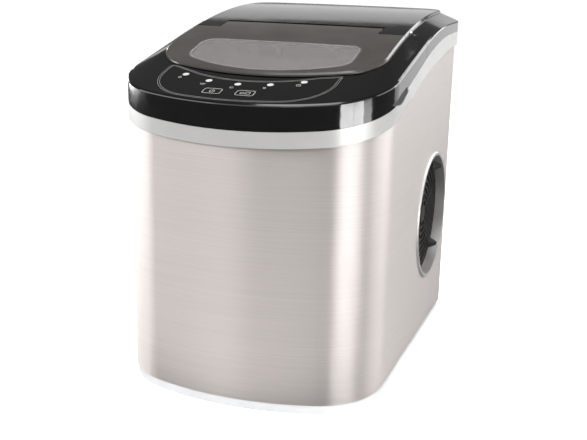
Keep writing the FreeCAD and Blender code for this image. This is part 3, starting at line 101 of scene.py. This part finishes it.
def moulded(name, color, roughness, grain=2200, depth=0.03, spread=0.05, shade=0.12, **extra):
    """Moulded plastic: fine grain in the surface, faint unevenness of colour and gloss."""
    material, tree, shader = new_material(name)
    settings(shader, Base_Color=color, Roughness=roughness, **extra)
    fine = noise(tree, grain, detail=2)
    bump(tree, shader, fine.outputs["Fac"], depth, 0.0002)
    broad = noise(tree, 38, detail=4)
    dark = tuple(c * (1 - shade) for c in color)
    light = tuple(min(1, c * (1 + shade)) for c in color)
    tree.links.new(ramp(tree, broad.outputs["Fac"], dark, light), shader.inputs["Base Color"])
    smudge = noise(tree, 90, detail=5)
    low, high = max(0.02, roughness - spread), min(1, roughness + spread)
    tree.links.new(ramp(tree, smudge.outputs["Fac"], low, high), shader.inputs["Roughness"])
    return material


def metal(name, color, roughness, stretch=(1, 1, 1), scale=400, depth=0.05, spread=0.08, shade=0.06, **extra):
    """Metal with drawn or brushed streaks; stretch sets the direction that they run across."""
    material, tree, shader = new_material(name)
    settings(shader, Base_Color=color, Metallic=1.0, Roughness=roughness, **extra)
    streaks = noise(tree, scale, stretch, detail=4, rough=0.6)
    bump(tree, shader, streaks.outputs["Fac"], depth, 0.0002)
    dark = tuple(c * (1 - shade) for c in color)
    light = tuple(min(1, c * (1 + shade)) for c in color)
    tree.links.new(ramp(tree, streaks.outputs["Fac"], dark, light), shader.inputs["Base Color"])
    low, high = max(0.03, roughness - spread), roughness + spread
    tree.links.new(ramp(tree, streaks.outputs["Fac"], low, high), shader.inputs["Roughness"])
    return material


def brushed_steel(name, color, roughness):
    """Sheet brushed lengthwise: hairlines run level round the machine, so highlights smear up and down."""
    material, tree, shader = new_material(name)
    settings(shader, Metallic=1.0, Roughness=roughness, Anisotropic=0.9, Anisotropic_Rotation=0.25)
    around = add(tree, "ShaderNodeTangent", direction_type="RADIAL", axis="Z")
    tree.links.new(around.outputs["Tangent"], shader.inputs["Tangent"])
    hairs = noise(tree, 1.0, (9, 9, 2600), detail=5, rough=0.7)
    bands = noise(tree, 1.0, (2.5, 2.5, 900), detail=3, rough=0.6)
    dark = tuple(c * 0.93 for c in color)
    light = tuple(min(1, c * 1.05) for c in color)
    fine = ramp(tree, hairs.outputs["Fac"], dark, light)
    wide = ramp(tree, bands.outputs["Fac"], 0.95, 1.0)
    tone = add(tree, "ShaderNodeMix", data_type="RGBA", blend_type="MULTIPLY")
    tone.inputs[0].default_value = 1.0
    tree.links.new(fine, tone.inputs[6])
    tree.links.new(wide, tone.inputs[7])
    tree.links.new(tone.outputs[2], shader.inputs["Base Color"])
    uneven = ramp(tree, bands.outputs["Fac"], roughness - 0.03, roughness + 0.03)
    tree.links.new(uneven, shader.inputs["Roughness"])
    bump(tree, shader, hairs.outputs["Fac"], 0.04, 0.00005)
    return material


def clear_plastic(name, color, roughness, weight):
    """Tinted see-through plastic with faint moulding waves and fine scuffs."""
    material, tree, shader = new_material(name)
    settings(shader, Base_Color=color, Roughness=roughness, Transmission_Weight=weight, IOR=1.49)
    waves = noise(tree, 60, detail=2)
    bump(tree, shader, waves.outputs["Fac"], 0.05, 0.0004)
    scuffs = noise(tree, 500, (1, 0.15, 1), detail=4)
    uneven = ramp(tree, scuffs.outputs["Fac"], roughness, roughness + 0.1, 0.5, 0.8)
    tree.links.new(uneven, shader.inputs["Roughness"])
    return material


STEEL = brushed_steel("brushed steel", (0.665, 0.62, 0.60), 0.50)
BLACK = moulded("black gloss", (0.0035, 0.0035, 0.0035), 0.10, grain=700, depth=0.012, spread=0.03,
                Specular_IOR_Level=0.40)
SMOKE = moulded("smoke lid", (0.060, 0.055, 0.051), 0.18, grain=700, depth=0.012, spread=0.03)
OVERLAY = moulded("overlay film", (0.003, 0.003, 0.003), 0.16, grain=900, depth=0.01, spread=0.03,
                  Specular_IOR_Level=0.35)
SILVER = moulded("silver trim", (0.36, 0.358, 0.355), 0.34, grain=1500, depth=0.01, spread=0.02,
                 shade=0.02, Metallic=0.3)
GREY = moulded("silver plastic", (0.55, 0.56, 0.57), 0.45, shade=0.05)
PRINT = moulded("pale print", (0.55, 0.55, 0.54), 0.5, shade=0.04)
PRINT_DIM = moulded("dim print", (0.26, 0.26, 0.25), 0.5, shade=0.04)
PRINT_DARK = moulded("dark print", (0.05, 0.05, 0.05), 0.5, shade=0.1)
BEAD = moulded("window bead", (0.24, 0.225, 0.215), 0.3, shade=0.04)
FOIL = moulded("plate foil", (0.55, 0.55, 0.55), 0.35, grain=900, shade=0.03, Metallic=0.6)
LAMP = moulded("lamp lens", (0.64, 0.64, 0.63), 0.25, shade=0.03)
MATT = moulded("black plastic", (0.012, 0.012, 0.012), 0.5, depth=0.06, Specular_IOR_Level=0.35)
WHITE = moulded("white plastic", (0.74, 0.75, 0.76), 0.38, shade=0.04, Subsurface_Weight=0.05)
FOAM = moulded("foam", (0.70, 0.66, 0.56), 0.9, grain=900, depth=0.6, shade=0.15)
RUBBER = moulded("rubber", (0.02, 0.02, 0.021), 0.72, grain=1400, depth=0.15)
HOSE = clear_plastic("silicone hose", (0.82, 0.84, 0.82), 0.35, 0.4)
BASKET = clear_plastic("basket plastic", (0.86, 0.89, 0.92), 0.22, 0.55)
WINDOW = clear_plastic("smoke window", (0.78, 0.75, 0.735), 0.08, 0.83)
CHROME = metal("plated ring", (0.66, 0.65, 0.64), 0.46, scale=60, depth=0.01, spread=0.05, shade=0.03)
SHEET = metal("galvanised sheet", (0.60, 0.605, 0.61), 0.42, scale=70, depth=0.03, spread=0.04, shade=0.05)
ZINC = metal("zinc", (0.60, 0.60, 0.57), 0.35, scale=900, depth=0.06)
COPPER = metal("copper tube", (0.74, 0.36, 0.22), 0.26, scale=260, depth=0.03, shade=0.18)
FINS = metal("fin sheet", (0.72, 0.73, 0.74), 0.34, scale=500, depth=0.04)
NICKEL = metal("nickel", (0.70, 0.68, 0.64), 0.2, scale=300, depth=0.03)
BRASS = metal("brass", (0.68, 0.52, 0.25), 0.28, scale=500, depth=0.04)
ENAMEL = moulded("black enamel", (0.012, 0.012, 0.013), 0.22, grain=500, depth=0.05)
BOARD = moulded("solder mask", (0.015, 0.12, 0.05), 0.35, grain=1800, depth=0.1, shade=0.3)
CASES = moulded("component cases", (0.06, 0.06, 0.065), 0.5, shade=0.4)

FINISHES = {
    "steel": STEEL, "black_gloss": BLACK, "smoke_lid": SMOKE, "smoke_clear": WINDOW, "silver_trim": SILVER,
    "silver_plastic": GREY, "chrome": CHROME, "black_plastic": MATT, "overlay_black": OVERLAY, "lamp": LAMP,
    "white_plastic": WHITE, "clear_basket": BASKET, "rubber": RUBBER, "hose": HOSE, "foam": FOAM,
    "galvanised": SHEET, "nickel": NICKEL, "copper": COPPER, "fin_aluminium": FINS, "zinc": ZINC,
    "compressor_black": ENAMEL, "board_green": BOARD, "component": CASES, "brass_body": BRASS,
}
for part in frame["record"]["subparts"]:
    node = frame["nodes"][part["node"]]
    for place in node.material_slots:
        place.material = FINISHES[part["material_slot"]]


# ---------------------------------------------------------------- mesh helpers

ABOVE = 0.5
BEHIND = 0.3


def surface(node_name):
    """Search tree over a node's mesh, to lay printed lines on it."""
    node = frame["nodes"][node_name]
    corners = [node.matrix_world @ v.co for v in node.data.vertices]
    return BVHTree.FromPolygons(corners, [p.vertices for p in node.data.polygons])


def on_top(tree, x, y):
    """Point of a surface seen straight from above, or None beside it."""
    return tree.ray_cast(Vector((x, y, ABOVE)), Vector((0, 0, -1)))[0]


def on_rear(tree, x, z):
    """Point of a surface seen straight from behind, or None beside it."""
    return tree.ray_cast(Vector((x, BEHIND, z)), Vector((0, -1, 0)))[0]


def piece(name, bm, material, body):
    """Finish a mesh as an object that moves with a body."""
    mesh = bpy.data.meshes.new(name)
    bmesh.ops.recalc_face_normals(bm, faces=bm.faces)
    bm.to_mesh(mesh)
    bm.free()
    obj = bpy.data.objects.new(name, mesh)
    bpy.context.scene.collection.objects.link(obj)
    mesh.materials.append(material)
    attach(obj, body)
    return obj


def stroke(bm, tree, line, width, closed=False, thick=0.05 * MM):
    """Printed line with a little body, laid on a surface along x, y points in metres."""
    count = len(line)
    rows = []
    for i, (x, y) in enumerate(line):
        before = line[i - 1] if (i or closed) else line[0]
        after = line[(i + 1) % count] if (i + 1 < count or closed) else line[-1]
        along = Vector((after[0] - before[0], after[1] - before[1])).normalized()
        side = Vector((-along.y, along.x)) * width / 2
        pair = [on_top(tree, x + s * side.x, y + s * side.y) for s in (1, -1)]
        if None in pair:
            rows.append(None)
            continue
        up = Vector((0, 0, thick))
        rows.append([bm.verts.new(p) for p in (pair[0] + up, pair[1] + up, pair[1] - up, pair[0] - up)])
    for i in range(count if closed else count - 1):
        a, b = rows[i], rows[(i + 1) % count]
        if a and b:
            for j in range(4):
                bm.faces.new((a[j], a[(j + 1) % 4], b[(j + 1) % 4], b[j]))
    for end in () if closed else (rows[0], rows[-1]):
        if end:
            bm.faces.new(end)


def arc_points(cx, cy, radius, start, end, steps):
    """Points along an arc between two angles in degrees."""
    angles = [math.radians(start + (end - start) * i / steps) for i in range(steps + 1)]
    return [(cx + radius * math.cos(angle), cy + radius * math.sin(angle)) for angle in angles]


def rounded_rectangle(cx, cy, width, depth, corner, steps=5):
    """Closed outline, counter-clockwise, with an arc at each corner."""
    points = []
    for sx, sy, start in ((1, -1, -90), (1, 1, 0), (-1, 1, 90), (-1, -1, 180)):
        points += arc_points(cx + sx * (width / 2 - corner), cy + sy * (depth / 2 - corner),
                             corner, start, start + 90, steps)
    return points


def outline(tree, cx, cy, reach, steps=420):
    """Outer edge of a surface seen from above, walked round a point inside it."""
    points = []
    for i in range(steps):
        angle = 2 * math.pi * i / steps
        step = Vector((math.cos(angle), math.sin(angle)))
        far = reach
        while far > 0 and on_top(tree, cx + step.x * far, cy + step.y * far) is None:
            far -= MM
        low, high = far, far + MM
        for _ in range(8):
            middle = (low + high) / 2
            if on_top(tree, cx + step.x * middle, cy + step.y * middle) is None:
                high = middle
            else:
                low = middle
        points.append((cx + step.x * low, cy + step.y * low))
    return points


def inset(points, distance):
    """A closed outline that runs counter-clockwise, moved inwards."""
    count = len(points)
    moved = []
    for i in range(count):
        before, after = Vector(points[i - 3]), Vector(points[(i + 3) % count])
        along = (after - before).normalized()
        moved.append((points[i][0] - along.y * distance, points[i][1] + along.x * distance))
    return moved


def inset_flat(points, distance):
    """Shrink a convex outline about the origin."""
    reach_x = max(p[0] for p in points)
    reach_y = max(p[1] for p in points)
    return [(x * (1 - distance / reach_x), y * (1 - distance / reach_y)) for x, y in points]


def prism(bm, low, high):
    """Solid between two matching rings of points."""
    low = [bm.verts.new(p) for p in low]
    high = [bm.verts.new(p) for p in high]
    bm.faces.new(high)
    bm.faces.new(low[::-1])
    for i in range(len(low)):
        bm.faces.new((low[i - 1], low[i], high[i], high[i - 1]))


def ring_bar(bm, outer, inner, low, high, place):
    """Closed ring of square section between two flat outlines, put in place by a matrix."""
    rows = [[bm.verts.new(place @ Vector((*spot, level))) for spot, level in
             ((o, high), (i, high), (i, low), (o, low))] for o, i in zip(outer, inner)]
    for i, row in enumerate(rows):
        after = rows[(i + 1) % len(rows)]
        for j in range(4):
            bm.faces.new((row[j], row[(j + 1) % 4], after[(j + 1) % 4], after[j]))


# ---------------------------------------------------------------- printed marks on the control panel

PANEL_MIDDLE = (-4 * MM, -146 * MM)
BORDER_INSETS = (1.2 * MM, 2.9 * MM)
REACH = 0.11
LAMP_ARC_CENTRE = (-7 * MM, -25 * MM)
LAMP_ARC_RADIUS = 116 * MM
LAMP_STEP = math.radians(13.7)
KEY_Y = -158 * MM
WINDOW_MIDDLE = (0, -75 * MM)


def panel_border():
    """Two fine pale lines, one inside the other, along the edge of the overlay."""
    tree = surface("control_overlay")
    edge = outline(tree, *PANEL_MIDDLE, REACH)
    bm = bmesh.new()
    for distance in BORDER_INSETS:
        stroke(bm, tree, inset(edge, distance), 0.36 * MM, closed=True)
    piece("overlay_border", bm, PRINT_DIM, "casing")


def lamp_marks():
    """Small signs below the lamps: drop, full bin, running, small cube, large cube."""
    tree = surface("control_overlay")
    bm = bmesh.new()
    cx, cy = LAMP_ARC_CENTRE
    line = 0.42 * MM
    for i, kind in enumerate(("drop", "bin", "run", "small", "large")):
        angle = LAMP_STEP * (i - 2)
        x = cx + LAMP_ARC_RADIUS * math.sin(angle) - 2.5 * MM
        y = cy - LAMP_ARC_RADIUS * math.cos(angle) - 7.0 * MM
        if kind == "drop":
            drop = arc_points(x, y, 1.2 * MM, -225, 45, 10) + [(x, y + 2.8 * MM)]
            stroke(bm, tree, drop, line, closed=True)
        elif kind == "bin":
            stroke(bm, tree, [(x - 2.3 * MM, y + 1.2 * MM), (x - 1.6 * MM, y - 1.2 * MM),
                              (x + 1.6 * MM, y - 1.2 * MM), (x + 2.3 * MM, y + 1.2 * MM)], line)
            stroke(bm, tree, [(x - 1.4 * MM, y + 0.5 * MM), (x + 1.4 * MM, y + 0.5 * MM)], line)
        elif kind == "run":
            stroke(bm, tree, arc_points(x, y, 1.5 * MM, 60, 360, 12), line)
        else:
            size = (2.0 if kind == "small" else 3.2) * MM
            stroke(bm, tree, rounded_rectangle(x, y, size, size, 0.4 * MM, 2), line, closed=True)
    piece("lamp_marks", bm, PRINT, "casing")


def key_marks(name, body, cx):
    """Outline and sign printed on a key, so that they sink with it: a power sign, or two cube sizes."""
    tree = surface(name)
    bm = bmesh.new()
    stroke(bm, tree, rounded_rectangle(cx, KEY_Y, 15.6 * MM, 9.6 * MM, 2.2 * MM), 0.5 * MM, closed=True)
    if name == "power_button":
        stroke(bm, tree, arc_points(cx, KEY_Y - 0.3 * MM, 2.1 * MM, 125, 415, 14), 0.5 * MM)
        stroke(bm, tree, [(cx, KEY_Y + 0.2 * MM), (cx, KEY_Y + 2.6 * MM)], 0.5 * MM)
    else:
        small = rounded_rectangle(cx - 2.6 * MM, KEY_Y - 0.6 * MM, 2.6 * MM, 2.6 * MM, 0.4 * MM, 2)
        stroke(bm, tree, small, 0.45 * MM, closed=True)
        large = rounded_rectangle(cx + 2.2 * MM, KEY_Y, 3.9 * MM, 3.9 * MM, 0.5 * MM, 2)
        stroke(bm, tree, large, 0.45 * MM, closed=True)
    piece(name + "_marks", bm, PRINT, body)


def window_bead():
    """Slim pale bead round the window in the lid."""
    tree = surface("lid_window")
    edge = outline(tree, *WINDOW_MIDDLE, REACH)
    bm = bmesh.new()
    stroke(bm, tree, inset(edge, 1.6 * MM), 0.7 * MM, closed=True, thick=0.12 * MM)
    piece("window_bead", bm, BEAD, "lid")


# ---------------------------------------------------------------- side vent and rear

VENT_CENTRE = Vector((0, 70.5 * MM, 127.5 * MM))
TAB_OUTER_RADIUS = 60.2 * MM


def tab_corners(x, half_width, inner_radius, out, side):
    """Four corners of a vent tab at one depth: wide at the ring, less than half as wide inside."""
    shares = ((-1, TAB_OUTER_RADIUS), (1, TAB_OUTER_RADIUS), (0.45, inner_radius), (-0.45, inner_radius))
    corners = []
    for share, radius in shares:
        across = half_width * share
        reach = math.sqrt(radius ** 2 - across ** 2)
        corners.append(VENT_CENTRE + Vector((x, 0, 0)) + out * reach + side * across)
    return corners


def vent_notch_shades():
    """Four dark wedges on the diagonals inside the vent ring, shaped as tabs that hold the guard; their black
    is painted shade, standing in for the shade in notches of the ring wall.
    """
    for index in range(4):
        angle = math.radians(45 + 90 * index)
        out = Vector((0, math.cos(angle), math.sin(angle)))
        side = Vector((0, -out.z, out.y))
        bm = bmesh.new()
        deep = tab_corners(109.2 * MM, 6.5 * MM, 53.5 * MM, out, side)
        outer = tab_corners(117.4 * MM, 1.8 * MM, 58.2 * MM, out, side)
        prism(bm, deep, outer)
        bmesh.ops.recalc_face_normals(bm, faces=bm.faces)
        bmesh.ops.bevel(bm, geom=list(bm.edges), offset=0.5 * MM, segments=2, affect="EDGES", profile=0.6)
        # the wedge's black is painted shade of a notch in the ring wall
        piece("vent_notch_shade_%d" % index, bm, MATT, "casing")


SCREW_X = 71 * MM
SCREW_LEVELS = (34 * MM, 160 * MM, 284 * MM)
RECESS_ARM = 1.6 * MM
RECESS_HALF = 0.35 * MM
RECESS_LEVELS = (-0.05 * MM, 0.05 * MM)


def screw_recess_shade():
    """Dark flat crosses on the heads of the screws that hold the rear panel: painted shade standing in for
    their cross recesses, which are not cut.
    """
    tree = surface("screws")
    arm, half = RECESS_ARM, RECESS_HALF
    cross = [(half, arm), (-half, arm), (-half, half), (-arm, half), (-arm, -half), (-half, -half),
             (-half, -arm), (half, -arm), (half, -half), (arm, -half), (arm, half), (half, half)]
    bm = bmesh.new()
    for x in (-SCREW_X, SCREW_X):
        for z in SCREW_LEVELS:
            hit = on_rear(tree, x, z)
            if hit is not None:
                rings = [[(x + u, hit.y + lift, z + w) for u, w in cross] for lift in RECESS_LEVELS]
                # thin black cross through the head's surface: painted shade of the recess, not a cut
                prism(bm, *rings)
    piece("screw_recess_shade", bm, MATT, "casing")


PLATE_Z = 66 * MM


def rating_plate():
    """Blank foil plate with a printed frame, low on the rear panel."""
    hit = on_rear(surface("rear_panel"), 0.0, PLATE_Z)
    turn = Matrix.Translation((0, hit.y, PLATE_Z)) @ Matrix.Rotation(math.radians(-90), 4, "X")
    face = rounded_rectangle(0, 0, 52 * MM, 34 * MM, 2 * MM)
    bm = bmesh.new()
    prism(bm, [turn @ Vector((*p, 0)) for p in face], [turn @ Vector((*p, 0.12 * MM)) for p in face])
    piece("rating_plate", bm, FOIL, "casing")
    face = rounded_rectangle(0, 0, 48 * MM, 30 * MM, 2 * MM)
    bm = bmesh.new()
    ring_bar(bm, face, inset_flat(face, 0.5 * MM), 0, 0.17 * MM, turn)
    piece("rating_frame", bm, PRINT_DARK, "casing")


GRIP_CORNERS = ((-118, 266.2), (-104, 269.6), (-92, 272.9), (-83, 274.5), (-74, 274.3), (-71, 272.0),
                (-77, 268.3), (-92, 263.4), (-103, 263.2))
GRIP_DEPTHS = (118.4 * MM, 119.5 * MM)


def closed_curve(corners, steps):
    """Smooth closed curve through flat corner points."""
    count = len(corners)
    line = []
    for i in range(count):
        a, b, c, d = (Vector(corners[(i + k) % count]) for k in (-1, 0, 1, 2))
        for step in range(steps):
            t = step / steps
            line.append((b * 2 + (c - a) * t + (a * 2 - b * 5 + c * 4 - d) * t * t
                         + (b * 3 - a - c * 3 + d) * t ** 3) * 0.5)
    return line


def finger_grips():
    """Dark matt lining of the two leaf-shaped finger recesses in the band."""
    line = closed_curve(GRIP_CORNERS, 5)
    for name, sign in (("left", -1), ("right", 1)):
        bm = bmesh.new()
        rings = [[(sign * x, p.x * MM, p.y * MM) for p in line] for x in GRIP_DEPTHS]
        prism(bm, *rings)
        piece("finger_grip_" + name, bm, MATT, "casing")


panel_border()
finger_grips()
lamp_marks()
key_marks("power_button", "power_key", -22.5 * MM)
key_marks("select_button", "select_key", 6.5 * MM)
window_bead()
vent_notch_shades()
screw_recess_shade()
rating_plate()


# ---------------------------------------------------------------- studio

MIDDLE = Vector((0, 0, 0.16))
# name, azimuth, elevation, distance, width, height, power; the strips are what the black band mirrors
SOFTBOXES = (
    ("overhead", 0, 78, 1.6, 0.9, 0.8, 16),
    ("front left", -48, 26, 1.6, 1.9, 0.5, 12.5),
    ("front", -14, 45, 1.6, 1.0, 0.6, 4.2),
    ("front right", 18, 43, 1.6, 0.9, 0.6, 3.4),
    ("left", -104, 3, 1.5, 2.3, 0.36, 20),
    ("right", 72, 36, 1.5, 0.6, 0.8, 2),
    ("right strip", 48.5, 1.1, 0.67, 0.176, 0.055, 0.72),
    ("right strip middle", 62.5, 1.1, 0.65, 0.148, 0.055, 0.56),
    ("right strip fade", 74.3, 1.1, 0.625, 0.142, 0.055, 0.22),
    ("right rear", 118, 24, 1.6, 1.2, 1.0, 14),
    ("side low", 160, -1, 1.6, 1.1, 0.25, 1.0),
    ("side", 148, 26, 1.6, 0.9, 0.8, 10),
    ("rear low", -165, 17, 1.8, 1.6, 0.5, 1.9),
)
# name, x, y, width, depth, power of the cards that lie on the floor and shine upwards
FLOOR_CARDS = (("front bounce", 0, -0.37, 1.2, 0.34, 1.3), ("side bounce", 0.31, 0.10, 0.34, 0.8, 0.2))
FLOOR_SIZE = 40
WALL_RADIUS = 38
WALL_HEIGHT = 30.0


def polar(azimuth, elevation, distance):
    """Point seen from the machine's middle: azimuth 0 is in front, 90 on the vent's side."""
    a, e = math.radians(azimuth), math.radians(elevation)
    return MIDDLE + distance * Vector((math.sin(a) * math.cos(e), -math.cos(a) * math.cos(e), math.sin(e)))


def softbox(name, azimuth, elevation, distance, width, height, power):
    """Soft rectangular light that faces the machine's middle."""
    light = bpy.data.lights.new(name, "AREA")
    light.shape = "RECTANGLE"
    light.size = width
    light.size_y = height
    light.energy = power
    obj = bpy.data.objects.new(name, light)
    obj.location = polar(azimuth, elevation, distance)
    obj.rotation_euler = (MIDDLE - obj.location).to_track_quat("-Z", "Y").to_euler()
    obj.visible_camera = False
    bpy.context.scene.collection.objects.link(obj)
    return obj


def make_lights():
    """Dim warm white surroundings, softboxes round the machine and cards on the floor."""
    world = bpy.data.worlds.new("studio")
    world.use_nodes = True
    world.node_tree.nodes["Background"].inputs["Color"].default_value = (1.0, 0.985, 0.98, 1)
    world.node_tree.nodes["Background"].inputs["Strength"].default_value = 0.16
    bpy.context.scene.world = world
    for values in SOFTBOXES:
        softbox(*values)
    for name, x, y, width, depth, power in FLOOR_CARDS:
        card = softbox(name, 0, 0, 0.5, width, depth, power)
        card.location = (x, y, 0.003)
        card.rotation_euler = (math.pi, 0, 0)


def stage_object(name, mesh, material):
    """Part of the studio that isn't part of the machine and isn't mirrored in it."""
    data = bpy.data.meshes.new(name)
    mesh.to_mesh(data)
    mesh.free()
    data.materials.append(material)
    obj = bpy.data.objects.new(name, data)
    bpy.context.scene.collection.objects.link(obj)
    obj.visible_glossy = False
    return obj


def make_floor():
    """Pale floor, and a round wall far off that only the camera sees, so that no horizon shows."""
    material, tree, shader = new_material("pale floor")
    settings(shader, Base_Color=(0.80, 0.80, 0.80), Roughness=0.18, Specular_IOR_Level=0.12,
             Emission_Color=(1, 1, 1), Emission_Strength=0.88)
    mesh = bmesh.new()
    bmesh.ops.create_grid(mesh, x_segments=8, y_segments=8, size=FLOOR_SIZE)
    stage_object("floor", mesh, material)
    mesh = bmesh.new()
    circle = arc_points(0, 0, WALL_RADIUS, 0, 360, 48)[:-1]
    low, high = ([mesh.verts.new((x, y, z)) for x, y in circle] for z in (-0.01, WALL_HEIGHT))
    for i in range(len(circle)):
        mesh.faces.new((low[i - 1], low[i], high[i], high[i - 1]))
    wall = stage_object("backdrop", mesh, material)
    wall.visible_diffuse = False
    wall.visible_transmission = False
    wall.visible_shadow = False


CAMERA_LENS = 60.63
CAMERA_PLACE = (0.30929, -0.89350, 0.38734)
CAMERA_TURN = (19.411, 15.452, 1.215)


def make_camera():
    """Camera just right of the front and a little above, with a degree of roll."""
    data = bpy.data.cameras.new("camera")
    data.sensor_width = 36.0
    data.lens = CAMERA_LENS
    data.clip_end = 60
    camera = bpy.data.objects.new("camera", data)
    azimuth, elevation, roll = (math.radians(v) for v in CAMERA_TURN)
    back = Vector((math.sin(azimuth) * math.cos(elevation), -math.cos(azimuth) * math.cos(elevation),
                   math.sin(elevation)))
    right = (-back).cross(Vector((0, 0, 1))).normalized()
    up = right.cross(-back)
    turn = Matrix((right * math.cos(roll) + up * math.sin(roll),
                   up * math.cos(roll) - right * math.sin(roll), back)).transposed().to_4x4()
    camera.matrix_world = Matrix.Translation(CAMERA_PLACE) @ turn
    bpy.context.scene.collection.objects.link(camera)
    bpy.context.scene.camera = camera
    view = bpy.context.scene.view_settings
    view.view_transform = "Standard"
    view.look = "None"


make_camera()
make_lights()
make_floor()
